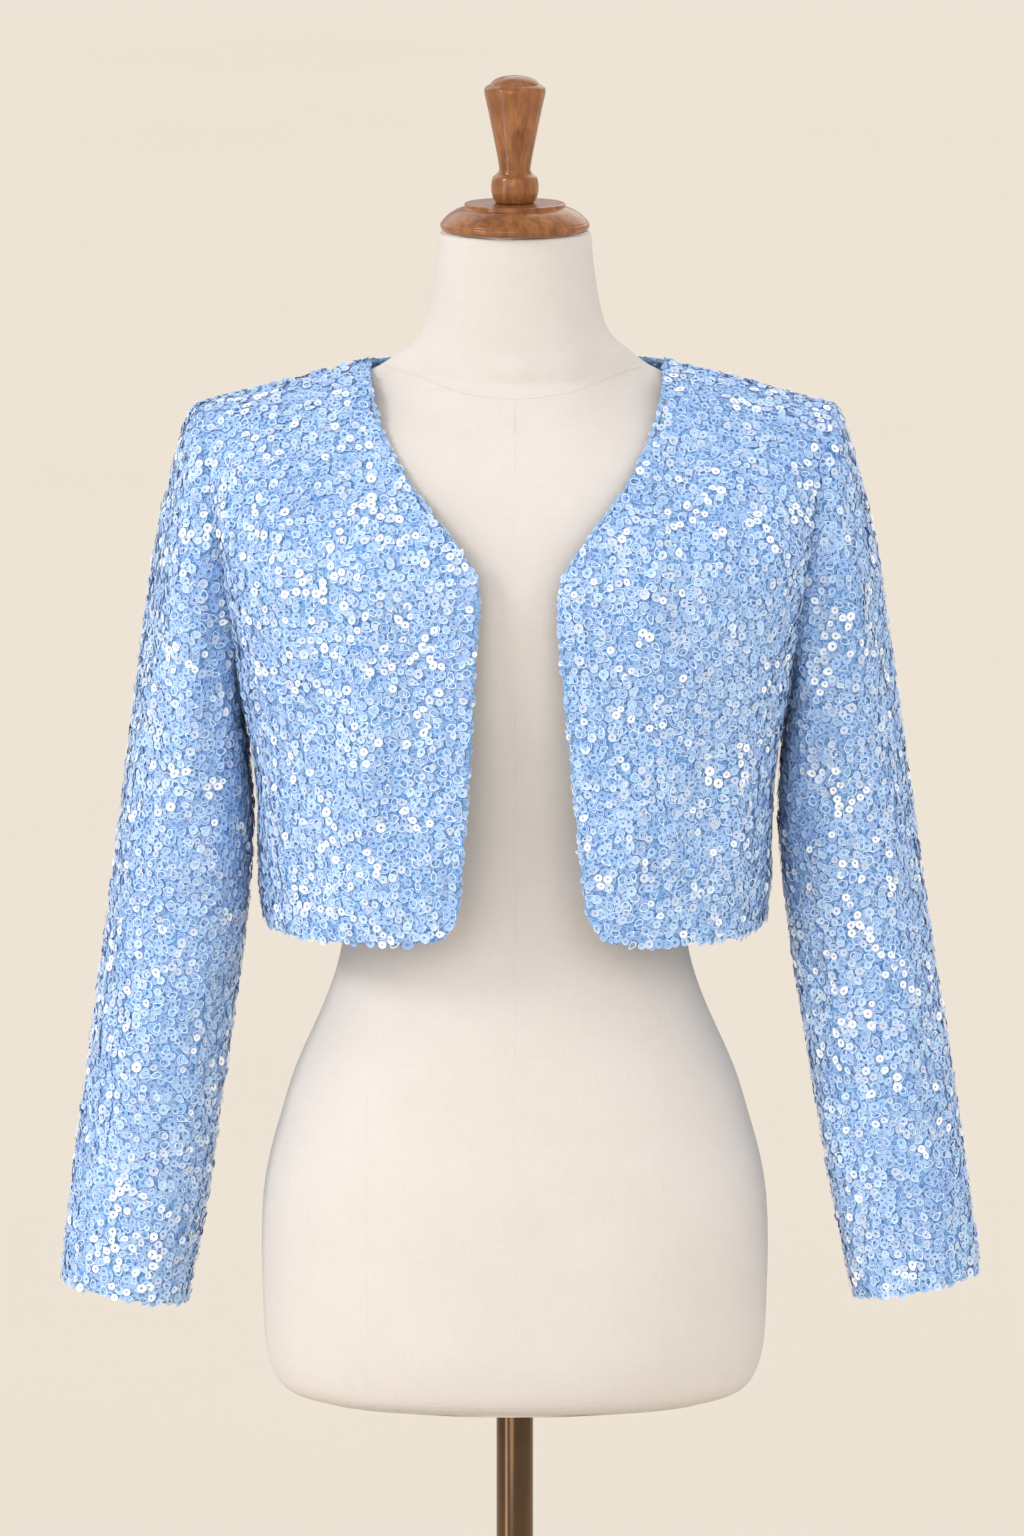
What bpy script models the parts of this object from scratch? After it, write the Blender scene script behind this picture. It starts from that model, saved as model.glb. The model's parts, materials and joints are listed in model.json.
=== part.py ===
"""A collarless open-front bolero jacket worn by a limbless dress form on a pole.

Units are metres with +Z up. The origin is on the floor under the pole, the front
faces -Y and the wearer's left is +X. Every cloth piece is a thin closed wall.
"""

import math
from collections import namedtuple

import bmesh
import bpy
import numpy as np

# Cloth: the wall, the parting at the seams and the strip along the front edges
WALL = 0.0022
SEAM_INSET = 0.00018
STRIP_WIDTH = 0.0030
STRIP_PROUD = 0.0006
STRIP_ROUNDING = 0.0010

# Heights of the worn jacket
HEM_Z = 1.0265
UNDERARM_Z = 1.186
SHOULDER_Z = 1.386
NECK_POINT_Z = 1.4173
BACK_NECK_Z = 1.412

# Shoulder line and armhole, as distances from the middle of the back
SHOULDER_X = 0.220
UNDERARM_X = 0.186
NECK_POINT_Y = 0.004
ARMHOLE_HALF_DEPTH = 0.060
BACK_NECK_Y = 0.066

# How far each row reaches before it turns, where the rows straighten towards the
# shoulder, where the back starts to slope to the neck, and the sleeve seam's splay
FRONT_REACH = 0.73
SIDE_REACH = 0.72
STRAIGHTEN_FROM = 5
BACK_SLOPE_FROM = 3
ARMHOLE_SPLAY = 0.45
SHOULDER_TILT = 0.26

# Back neckline: how far its curve runs level behind the neck and forward at the side
NECKLINE_LEVEL = 0.60
NECKLINE_FORWARD = 0.55
NECKLINE_RISE = 0.30

# A fold fades in and out over this share of its length, or of a sleeve's length,
# and stays off the rows and columns next to a seam
FOLD_FADE = 0.3
SLEEVE_FOLD_FADE = 0.12
SEAM_FREE_ROWS = 3.0
SEAM_FREE_COLUMNS = 2.0

# Front hem corner and the hollow that each hanging sleeve presses into the side
CORNER_RADIUS = 0.023
HOLLOW_WIDTH = 0.046
HOLLOW_FROM_X = 0.12
HOLLOW_EASE = 0.04

# How finely the cloth is divided
LOWER_ROWS = 9
ARMHOLE_ROWS = 12
HALF_COLUMNS = 14
NECK_COLUMN = 9
SLEEVE_RINGS = 23
END_CROWDING = 0.35
CORNER_COLUMNS = 2

# Front edge and neckline: height, distance of each edge from the middle, depth
EdgeRow = namedtuple("EdgeRow", "z right_x left_x y")
EDGE_ROWS = (
    EdgeRow(1.0265, 0.0395, 0.0500, -0.128),
    EdgeRow(1.0825, 0.0360, 0.0455, -0.131),
    EdgeRow(1.1400, 0.0316, 0.0396, -0.133),
    EdgeRow(1.1900, 0.0288, 0.0350, -0.134),
    EdgeRow(1.2460, 0.0256, 0.0300, -0.1345),
    EdgeRow(1.2700, 0.0238, 0.0290, -0.1340),
    EdgeRow(1.2860, 0.0252, 0.0322, -0.1325),
    EdgeRow(1.2993, 0.0343, 0.0413, -0.1290),
    EdgeRow(1.3160, 0.0480, 0.0545, -0.1200),
    EdgeRow(1.3310, 0.0618, 0.0678, -0.1070),
    EdgeRow(1.3467, 0.0745, 0.0795, -0.0920),
    EdgeRow(1.3612, 0.0833, 0.0875, -0.0750),
    EdgeRow(1.3787, 0.0931, 0.0966, -0.0560),
    EdgeRow(1.3930, 0.0978, 0.1008, -0.0385),
    EdgeRow(1.4057, 0.1003, 0.1032, -0.0225),
    EdgeRow(1.4173, 0.1005, 0.1036, NECK_POINT_Y),
)

# Middle of the back: height and depth
BackRow = namedtuple("BackRow", "z y")
BACK_ROWS = (
    BackRow(1.0265, 0.097),
    BackRow(1.1000, 0.099),
    BackRow(1.1860, 0.104),
    BackRow(1.2700, 0.108),
    BackRow(1.3300, 0.104),
    BackRow(1.3750, 0.092),
    BackRow(1.4120, BACK_NECK_Y),
)

# Side of the body: height, half width at the rounded front and back corners, hollow
SideRow = namedtuple("SideRow", "z half_width hollow")
SIDE_ROWS = (
    SideRow(1.0265, 0.1750, 0.000),
    SideRow(1.0500, 0.1780, 0.000),
    SideRow(1.0900, 0.1815, 0.004),
    SideRow(1.1300, 0.1865, 0.009),
    SideRow(1.1600, 0.1915, 0.011),
    SideRow(1.1860, 0.1970, 0.011),
    SideRow(1.2150, 0.1990, 0.007),
    SideRow(1.2450, 0.2010, 0.003),
    SideRow(1.2800, 0.2050, 0.000),
    SideRow(1.3860, 0.2200, 0.000),
)

# Sleeve rings from the armhole to the cuff: outer and inner line, middle, half depth
SleeveRow = namedtuple("SleeveRow", "out_x out_z in_x in_z y half_depth")
SLEEVE_ROWS = (
    SleeveRow(0.2200, 1.386, 0.1860, 1.186, 0.004, 0.0600),
    SleeveRow(0.2268, 1.378, 0.1893, 1.181, 0.004, 0.0640),
    SleeveRow(0.2330, 1.358, 0.1903, 1.174, 0.004, 0.0665),
    SleeveRow(0.2400, 1.332, 0.1892, 1.165, 0.003, 0.0670),
    SleeveRow(0.2470, 1.304, 0.1882, 1.154, 0.003, 0.0665),
    SleeveRow(0.2525, 1.272, 0.1868, 1.140, 0.002, 0.0650),
    SleeveRow(0.2590, 1.226, 0.1852, 1.119, 0.001, 0.0620),
    SleeveRow(0.2660, 1.172, 0.1840, 1.092, 0.000, 0.0585),
    SleeveRow(0.2750, 1.101, 0.1860, 1.056, -0.002, 0.0545),
    SleeveRow(0.2840, 1.030, 0.1908, 1.006, -0.005, 0.0510),
    SleeveRow(0.2930, 0.965, 0.1990, 0.949, -0.008, 0.0480),
    SleeveRow(0.3020, 0.900, 0.2080, 0.886, -0.011, 0.0450),
    SleeveRow(0.3100, 0.838, 0.2170, 0.824, -0.013, 0.0420),
    SleeveRow(0.3180, 0.767, 0.2310, 0.752, -0.015, 0.0385),
)
LEFT_SLEEVE_SWING = 0.0080
SWING_CURVE = 1.5
LEFT_SLEEVE_LENGTH = 0.985
RIGHT_SLEEVE_LENGTH = 0.995

# Soft folds of the body, each a ridge or a trough between two points seen from
# the front or the back: start x, z, end x, z, half width, height (trough below 0)
Fold = namedtuple("Fold", "x0 z0 x1 z1 width height")
RIGHT_FRONT_FOLDS = (
    Fold(-0.135, 1.345, -0.128, 1.245, 0.013, -0.0022),
    Fold(-0.098, 1.330, -0.090, 1.230, 0.014, 0.0024),
    Fold(-0.070, 1.270, -0.064, 1.120, 0.012, -0.0018),
    Fold(-0.104, 1.200, -0.097, 1.030, 0.015, 0.0024),
    Fold(-0.142, 1.190, -0.135, 1.030, 0.014, -0.0020),
    Fold(-0.186, 1.330, -0.176, 1.240, 0.011, -0.0022),
)
LEFT_FRONT_FOLDS = (
    Fold(0.114, 1.360, 0.118, 1.245, 0.013, -0.0024),
    Fold(0.092, 1.310, 0.096, 1.205, 0.014, 0.0022),
    Fold(0.135, 1.175, 0.131, 1.030, 0.012, -0.0026),
    Fold(0.157, 1.200, 0.153, 1.030, 0.011, 0.0026),
    Fold(0.074, 1.140, 0.080, 1.030, 0.013, 0.0018),
    Fold(0.160, 1.330, 0.164, 1.230, 0.013, -0.0022),
)
BACK_FOLDS = (
    Fold(-0.150, 1.300, -0.138, 1.040, 0.015, -0.0026),
    Fold(-0.110, 1.230, -0.104, 1.030, 0.014, 0.0022),
    Fold(-0.035, 1.260, -0.042, 1.030, 0.016, -0.0020),
    Fold(0.030, 1.200, 0.036, 1.030, 0.014, 0.0020),
    Fold(0.092, 1.250, 0.086, 1.030, 0.016, -0.0022),
    Fold(0.148, 1.310, 0.134, 1.050, 0.014, 0.0024),
)

# Soft folds of a sleeve: angle round it from its outer line towards the front,
# share of its length where it starts and ends, half width, height
SleeveFold = namedtuple("SleeveFold", "angle start end width height")
RIGHT_SLEEVE_FOLDS = (
    SleeveFold(105, 0.16, 0.48, 0.010, -0.0030),
    SleeveFold(58, 0.12, 0.42, 0.012, 0.0022),
    SleeveFold(20, 0.30, 0.85, 0.013, -0.0018),
    SleeveFold(120, 0.55, 0.97, 0.012, 0.0020),
    SleeveFold(240, 0.16, 0.55, 0.012, -0.0028),
    SleeveFold(300, 0.40, 0.92, 0.013, 0.0020),
)
LEFT_SLEEVE_FOLDS = (
    SleeveFold(98, 0.14, 0.46, 0.010, -0.0034),
    SleeveFold(66, 0.13, 0.50, 0.012, 0.0026),
    SleeveFold(30, 0.35, 0.80, 0.013, -0.0018),
    SleeveFold(112, 0.58, 0.95, 0.012, 0.0022),
    SleeveFold(250, 0.15, 0.50, 0.012, -0.0026),
    SleeveFold(305, 0.45, 0.95, 0.013, 0.0020),
)

# Torso sections: height, half width, depth in front of and behind the pole's
# middle, and how square the section is (2 is an ellipse)
TorsoRow = namedtuple("TorsoRow", "z half_width front back squareness")
TORSO_ROWS = (
    TorsoRow(0.6883, 0.1520, 0.097, 0.101, 2.4),
    TorsoRow(0.6923, 0.1625, 0.107, 0.111, 2.4),
    TorsoRow(0.7028, 0.1705, 0.114, 0.118, 2.4),
    TorsoRow(0.7220, 0.1755, 0.118, 0.122, 2.4),
    TorsoRow(0.7530, 0.1772, 0.120, 0.124, 2.4),
    TorsoRow(0.8270, 0.1772, 0.119, 0.125, 2.4),
    TorsoRow(0.8803, 0.1652, 0.114, 0.119, 2.3),
    TorsoRow(0.9158, 0.1547, 0.109, 0.111, 2.3),
    TorsoRow(0.9513, 0.1390, 0.102, 0.100, 2.2),
    TorsoRow(0.9867, 0.1255, 0.095, 0.088, 2.2),
    TorsoRow(1.0250, 0.1190, 0.090, 0.079, 2.2),
    TorsoRow(1.0700, 0.1225, 0.092, 0.078, 2.2),
    TorsoRow(1.1300, 0.1370, 0.100, 0.084, 2.2),
    TorsoRow(1.1900, 0.1510, 0.111, 0.091, 2.3),
    TorsoRow(1.2400, 0.1600, 0.119, 0.096, 2.4),
    TorsoRow(1.2800, 0.1650, 0.119, 0.098, 2.4),
    TorsoRow(1.3200, 0.1700, 0.105, 0.095, 2.2),
    TorsoRow(1.3500, 0.1760, 0.088, 0.086, 2.0),
    TorsoRow(1.3700, 0.1840, 0.075, 0.075, 1.8),
    TorsoRow(1.3840, 0.1800, 0.066, 0.067, 1.6),
    TorsoRow(1.3930, 0.1690, 0.062, 0.063, 1.5),
    TorsoRow(1.4000, 0.1490, 0.059, 0.060, 1.5),
    TorsoRow(1.4068, 0.1140, 0.055, 0.057, 1.5),
    TorsoRow(1.4142, 0.0938, 0.055, 0.057, 1.6),
    TorsoRow(1.4251, 0.0791, 0.053, 0.055, 1.8),
    TorsoRow(1.4336, 0.0690, 0.052, 0.055, 1.95),
    TorsoRow(1.4506, 0.0606, 0.051, 0.054, 2.0),
    TorsoRow(1.4866, 0.0546, 0.048, 0.052, 2.0),
    TorsoRow(1.5046, 0.0532, 0.047, 0.051, 2.0),
    TorsoRow(1.5071, 0.0512, 0.045, 0.049, 2.0),
)
TORSO_SIDES = 32
SHOULDER_PINCH = 0.82
SHOULDER_PINCH_Z = 1.405
SHOULDER_PINCH_HEIGHT = 0.026
SHOULDER_PINCH_FROM_X = 0.03
SHOULDER_PINCH_EASE = 0.09
TORSO_BOTTOM_Z = 0.6868
TORSO_END_SCALE = 0.965
NECK_TOP_Z = 1.5082

# Turned wood and stand
REST_GAP = 0.0003
CAP_PROFILE = (
    (0.0500, 0.0000),
    (0.0516, 0.0015),
    (0.0521, 0.0035),
    (0.0518, 0.0050),
    (0.0508, 0.0058),
    (0.0506, 0.0066),
    (0.0478, 0.0096),
    (0.0441, 0.0125),
    (0.0395, 0.0149),
    (0.0360, 0.0157),
    (0.0352, 0.0164),
    (0.0352, 0.0183),
    (0.0344, 0.0190),
)
FINIAL_PROFILE = (
    (0.0135, 0.0000),
    (0.0150, 0.0025),
    (0.0163, 0.0060),
    (0.0168, 0.0101),
    (0.0164, 0.0145),
    (0.0152, 0.0180),
    (0.0128, 0.0196),
    (0.0119, 0.0205),
    (0.0116, 0.0216),
    (0.0107, 0.0227),
    (0.0120, 0.0310),
    (0.0138, 0.0400),
    (0.0156, 0.0494),
    (0.0178, 0.0600),
    (0.0199, 0.0700),
    (0.0212, 0.0750),
    (0.0215, 0.0774),
    (0.0209, 0.0800),
    (0.0190, 0.0815),
    (0.0171, 0.0820),
    (0.0166, 0.0833),
    (0.0145, 0.0855),
    (0.0100, 0.0874),
    (0.0045, 0.0883),
)
POLE_RADIUS = 0.0130
BASE_RADIUS = 0.170
BASE_THICKNESS = 0.014
BASE_BEVEL = 0.004
TURNED_SIDES = 24

# Colours: base colour, roughness, metallic
SEQUIN_BLUE = ((0.42, 0.64, 0.92), 0.42, 0.0)
STRIP_BLUE = ((0.52, 0.71, 0.93), 0.62, 0.0)
LINEN = ((0.80, 0.72, 0.65), 0.90, 0.0)
WOOD = ((0.30, 0.12, 0.05), 0.34, 0.0)
BRONZE = ((0.30, 0.21, 0.13), 0.32, 1.0)


def clear_scene():
    for obj in list(bpy.data.objects):
        bpy.data.objects.remove(obj, do_unlink=True)


def material(name, colour, roughness, metallic):
    made = bpy.data.materials.new(name)
    made.use_nodes = True
    shader = made.node_tree.nodes["Principled BSDF"]
    shader.inputs["Base Color"].default_value = (*colour, 1.0)
    shader.inputs["Roughness"].default_value = roughness
    shader.inputs["Metallic"].default_value = metallic
    return made


def add_object(name, bm, look):
    bm.normal_update()
    mesh = bpy.data.meshes.new(name)
    bm.to_mesh(mesh)
    bm.free()
    mesh.shade_smooth()
    mesh.set_sharp_from_angle(angle=math.radians(40))
    obj = bpy.data.objects.new(name, mesh)
    obj.data.materials.append(material(name + "_look", *look))
    bpy.context.scene.collection.objects.link(obj)
    return obj


def smooth_column(rows, by, name, at):
    """One column of a table where another column, or the row's place, is at."""
    x = np.array([getattr(row, by) if by else place for place, row in enumerate(rows)], float)
    y = np.array([getattr(row, name) for row in rows])
    slope = np.gradient(y, x)
    k = np.clip(np.searchsorted(x, at, side="right") - 1, 0, len(x) - 2)
    span = x[k + 1] - x[k]
    u = (np.asarray(at) - x[k]) / span
    start = y[k] * (1 + 2 * u) * (1 - u) ** 2 + slope[k] * span * u * (1 - u) ** 2
    end = y[k + 1] * u * u * (3 - 2 * u) + slope[k + 1] * span * u * u * (u - 1)
    return start + end


def smooth_step(value):
    u = np.clip(value, 0.0, 1.0)
    return u * u * (3 - 2 * u)


def unit(vectors):
    length = np.linalg.norm(vectors, axis=-1, keepdims=True)
    return vectors / np.maximum(length, 1e-12)


def bezier(p0, p1, p2, p3, count):
    """Points along a cubic curve, closer together near both of its ends."""
    u = np.linspace(0.0, 1.0, 81)[:, None]
    fine = (1 - u) ** 3 * p0 + 3 * u * (1 - u) ** 2 * p1 + 3 * u * u * (1 - u) * p2 + u**3 * p3
    length = np.insert(np.cumsum(np.linalg.norm(np.diff(fine, axis=0), axis=1)), 0, 0.0)
    even = np.linspace(0.0, 1.0, count)
    share = even - END_CROWDING * np.sin(2 * math.pi * even) / (2 * math.pi)
    at = share * length[-1]
    return np.stack([np.interp(at, length, fine[:, axis]) for axis in range(3)], axis=1)


def hollow_at(y, z):
    depth = smooth_column(SIDE_ROWS, "z", "hollow", z)
    return depth * np.exp(-(((y - NECK_POINT_Y) / HOLLOW_WIDTH) ** 2))


def armhole_point(row, towards):
    """Point on the armhole, row 0 at the underarm; towards is -1 in front, 1 behind."""
    turn = math.pi * row / ARMHOLE_ROWS
    share = (1 - math.cos(turn)) / 2
    x = UNDERARM_X + (SHOULDER_X - UNDERARM_X) * share
    y = NECK_POINT_Y + towards * ARMHOLE_HALF_DEPTH * math.sin(turn)
    z = UNDERARM_Z + (SHOULDER_Z - UNDERARM_Z) * share
    return np.array([x, y, z])


def armhole_normal(row, towards):
    """Direction out of the cloth on the armhole seam, the same for body and sleeve."""
    turn = math.pi * row / ARMHOLE_ROWS
    outward = ARMHOLE_SPLAY * (1 - math.cos(turn)) / 2
    return unit(np.array([outward, towards * math.sin(turn), -math.cos(turn)]))


def outer_point(row, towards):
    """Outer end of a body row before the side is hollowed: side seam, then armhole."""
    if row < LOWER_ROWS:
        z = HEM_Z + (UNDERARM_Z - HEM_Z) * row / LOWER_ROWS
        return np.array([float(smooth_column(SIDE_ROWS, "z", "half_width", z)), NECK_POINT_Y, z])
    point = armhole_point(row - LOWER_ROWS, towards)
    point[0] += float(hollow_at(point[1], point[2]))
    return point


def inner_height(row, top):
    if row <= LOWER_ROWS:
        return HEM_Z + (UNDERARM_Z - HEM_Z) * row / LOWER_ROWS
    return UNDERARM_Z + (top - UNDERARM_Z) * (row - LOWER_ROWS) / ARMHOLE_ROWS


def body_row(inner, outer, row):
    """A row of the body from its inner edge round to its outer end, as a cubic curve."""
    across = outer - inner
    ease = smooth_step((row - LOWER_ROWS - STRAIGHTEN_FROM) / (ARMHOLE_ROWS - STRAIGHTEN_FROM))
    reach_in = np.array([FRONT_REACH * across[0], 0.0, 0.0])
    reach_out = np.array([0.0, -SIDE_REACH * across[1], 0.0])
    near = inner + reach_in * (1 - ease) + across / 3 * ease
    far = outer + reach_out * (1 - ease) - across / 3 * ease
    near[2] = inner[2] + across[2] / 3
    far[2] = outer[2] - across[2] / 3
    return bezier(inner, near, far, outer, HALF_COLUMNS + 1)


def hollow_sides(points):
    """The side pressed in where the sleeve hangs against it."""
    near_side = smooth_step((points[..., 0] - HOLLOW_FROM_X) / HOLLOW_EASE)
    points[..., 0] -= hollow_at(points[..., 1], points[..., 2]) * near_side
    return points


def round_hem_corner(points):
    """A front's grid with its lower inner corner turned into an arc."""
    across = points[..., 0] - points[:, :1, 0]
    up = points[..., 2] - HEM_Z
    p = np.clip(1 - across / CORNER_RADIUS, 0.0, 1.0)
    q = np.clip(1 - up / CORNER_RADIUS, 0.0, 1.0)
    points[..., 0] += CORNER_RADIUS * p * (1 - np.sqrt(1 - q * q / 2))
    points[..., 2] += CORNER_RADIUS * q * (1 - np.sqrt(1 - p * p / 2))
    return points


def front_half(edge_name):
    """Outer points of a front for the +X side: rows from the hem up, columns outwards."""
    rows = []
    for row in range(LOWER_ROWS + ARMHOLE_ROWS + 1):
        z = inner_height(row, NECK_POINT_Z)
        x = float(smooth_column(EDGE_ROWS, "z", edge_name, z))
        y = float(smooth_column(EDGE_ROWS, "z", "y", z))
        rows.append(body_row(np.array([x, y, z]), outer_point(row, -1), row))
    return round_hem_corner(hollow_sides(np.array(rows)))


def back_top(neck_x):
    """The back's top edge for one half: the back neckline, then the shoulder."""
    neck = np.array([neck_x, NECK_POINT_Y, NECK_POINT_Z])
    middle = np.array([0.0, BACK_NECK_Y, BACK_NECK_Z])
    shoulder = armhole_point(ARMHOLE_ROWS, 1)
    across = neck - middle
    near = middle + np.array([NECKLINE_LEVEL * across[0], 0.0, 0.0])
    far = neck - np.array([0.0, NECKLINE_FORWARD * across[1], NECKLINE_RISE * across[2]])
    neckline = bezier(middle, near, far, neck, NECK_COLUMN + 1)
    along = np.linspace(0.0, 1.0, HALF_COLUMNS - NECK_COLUMN + 1)[1:, None]
    return np.vstack([neckline, neck + (shoulder - neck) * along])


def back_half(edge_name):
    """Outer points of half of the back for the +X side, columns out from its middle."""
    rows = []
    for row in range(LOWER_ROWS + ARMHOLE_ROWS + 1):
        z = inner_height(row, BACK_NECK_Z)
        y = float(smooth_column(BACK_ROWS, "z", "y", z))
        rows.append(body_row(np.array([0.0, y, z]), outer_point(row, 1), row))
    rows = np.array(rows)
    shift = back_top(getattr(EDGE_ROWS[-1], edge_name)) - rows[-1]
    first = LOWER_ROWS + BACK_SLOPE_FROM
    share = np.clip((np.arange(len(rows)) - first) / (len(rows) - 1 - first), 0.0, 1.0)
    rows += (share**2)[:, None, None] * shift[None]
    return hollow_sides(rows)


def other_side(points):
    return points * np.array([-1.0, 1.0, 1.0])


def along_line(points):
    return unit(np.gradient(points, axis=0))


def grid_normals(points, wrap=False):
    """Unit normals of a grid, its columns running left to right as seen from outside."""
    up = np.gradient(points, axis=0)
    if wrap:
        across = np.roll(points, -1, axis=1) - np.roll(points, 1, axis=1)
    else:
        across = np.gradient(points, axis=1)
    return unit(np.cross(across, up))


def add_folds(points, folds, seam_columns):
    """Outer points moved along their normals by each ridge or trough, still at seams."""
    moved = np.zeros(points.shape[:-1])
    for fold in folds:
        start = np.array([fold.x0, fold.z0])
        run = np.array([fold.x1, fold.z1]) - start
        length = np.linalg.norm(run)
        along = run / length
        offset = points[..., [0, 2]] - start
        s = (offset @ along) / length
        aside = offset @ np.array([-along[1], along[0]])
        fade = smooth_step(s / FOLD_FADE + 0.5) * smooth_step((1 - s) / FOLD_FADE + 0.5)
        moved += fold.height * fade * np.exp(-((aside / fold.width) ** 2))
    free = smooth_step((len(points) - 1 - np.arange(len(points))) / SEAM_FREE_ROWS)[:, None]
    columns = np.arange(points.shape[1])
    for seam in seam_columns:
        free = free * smooth_step(np.abs(columns - seam) / SEAM_FREE_COLUMNS)
    return points + grid_normals(points) * (moved * free)[..., None]


def shoulder_normal(share):
    """Direction out of the cloth on the shoulder seam, from the neck to the armhole."""
    lean = SHOULDER_TILT + (ARMHOLE_SPLAY - SHOULDER_TILT) * share
    return unit(np.array([lean, 0.0, 1.0]))


def set_seams(points, normals, shift, column, towards):
    """Normals and parting on a half panel's side seam and armhole, for the +X side."""
    for row in range(len(points)):
        if row < LOWER_ROWS:
            normals[row, column] = unit(normals[row, column] * (1, 0, 1))
        else:
            normals[row, column] = armhole_normal(row - LOWER_ROWS, towards)
            shift[row, column, 0] -= SEAM_INSET
        if row <= LOWER_ROWS:
            shift[row, column, 1] += towards * SEAM_INSET


def ease_along(vectors):
    """Unit vectors along an edge, each blended with its two neighbours."""
    inner = unit(vectors[:-2] + 2 * vectors[1:-1] + vectors[2:])
    return np.vstack([vectors[:1], inner, vectors[-1:]])


def rim_strip(line, normals, interior):
    """Directions into the panel along its finished edge, square to edge and normal."""
    aside = unit(np.cross(normals, along_line(line)))
    sign = np.sign(np.sum(aside * (interior - line), axis=1, keepdims=True))
    return aside * sign


def strip_sections(line, normals, inward):
    """Rings of the strip: a rounded outer edge and a flat side against the panel."""
    proud = STRIP_PROUD
    back = -WALL - STRIP_PROUD
    outline = (
        (STRIP_WIDTH, proud),
        (STRIP_ROUNDING, proud),
        (0.0, proud - STRIP_ROUNDING),
        (0.0, back + STRIP_ROUNDING),
        (STRIP_ROUNDING, back),
        (STRIP_WIDTH, back),
    )
    return np.stack([line + inward * a + normals * b for a, b in outline], axis=1)


def front_panel(edge_name, folds, sign):
    """Grids of a front for the +X side, with the rings of its edge strip."""
    points = front_half(edge_name)
    own_side = folds if sign > 0 else [
        fold._replace(x0=-fold.x0, x1=-fold.x1) for fold in folds
    ]
    points = add_folds(points, own_side, [HALF_COLUMNS])
    normals = grid_normals(points)
    shift = np.zeros_like(points)
    set_seams(points, normals, shift, -1, -1)
    shares = np.linspace(0.0, 1.0, HALF_COLUMNS + 1)
    normals[-1] = [shoulder_normal(share) for share in shares]
    shift[-1, :, 1] -= SEAM_INSET
    corner = [(0, column) for column in range(CORNER_COLUMNS, 0, -1)]
    rim = corner + [(row, 0) for row in range(len(points))]
    rows, columns = np.array(rim).T
    interior = points[np.minimum(rows + 1, len(points) - 1), columns + 1]
    line = points[rows, columns]
    normals[rows, columns] = ease_along(ease_along(normals[rows, columns]))
    inward = rim_strip(line, normals[rows, columns], interior)
    inward[-1] = unit(points[-1, 1] - points[-1, 0])
    shift[rows, columns] += inward * (STRIP_WIDTH + 2 * SEAM_INSET)
    line[-1, 1] -= SEAM_INSET
    line[0] += unit(line[1] - line[0]) * 2 * SEAM_INSET
    strip = strip_sections(line, normals[rows, columns], inward)
    outer = points + shift
    return outer, outer - normals * WALL, strip


def back_panel():
    """Grids of the back, columns from the +X side round to the -X side."""
    left = back_half("left_x")[:, ::-1]
    right = other_side(back_half("right_x"))
    points = np.concatenate([left, right[:, 1:]], axis=1)
    points = add_folds(points, BACK_FOLDS, [0, 2 * HALF_COLUMNS])
    normals = grid_normals(points)
    shift = np.zeros_like(points)
    set_seams(points, normals, shift, 0, 1)
    points, normals, shift = (other_side(grid) for grid in (points, normals, shift))
    set_seams(points, normals, shift, -1, 1)
    points, normals, shift = (other_side(grid) for grid in (points, normals, shift))
    seam_columns = HALF_COLUMNS - NECK_COLUMN + 1
    shares = np.linspace(1.0, 0.0, seam_columns)
    normals[-1, :seam_columns] = [shoulder_normal(share) for share in shares]
    normals[-1, -seam_columns:] = other_side(normals[-1, :seam_columns][::-1])
    shift[-1, :seam_columns, 1] += SEAM_INSET
    shift[-1, -seam_columns:, 1] += SEAM_INSET
    columns = np.arange(seam_columns - 1, 2 * HALF_COLUMNS - seam_columns + 2)
    line = points[-1, columns]
    normals[-1, columns] = ease_along(ease_along(normals[-1, columns]))
    inward = rim_strip(line, normals[-1, columns], points[-2, columns])
    inward[0] = unit(points[-1, columns[0] - 1] - line[0])
    inward[-1] = unit(points[-1, columns[-1] + 1] - line[-1])
    shift[-1, columns] += inward * (STRIP_WIDTH + 4 * SEAM_INSET)
    line[[0, -1], 1] += SEAM_INSET
    strip = strip_sections(line, normals[-1, columns], inward)
    outer = points + shift
    return outer, outer - normals * WALL, strip


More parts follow.
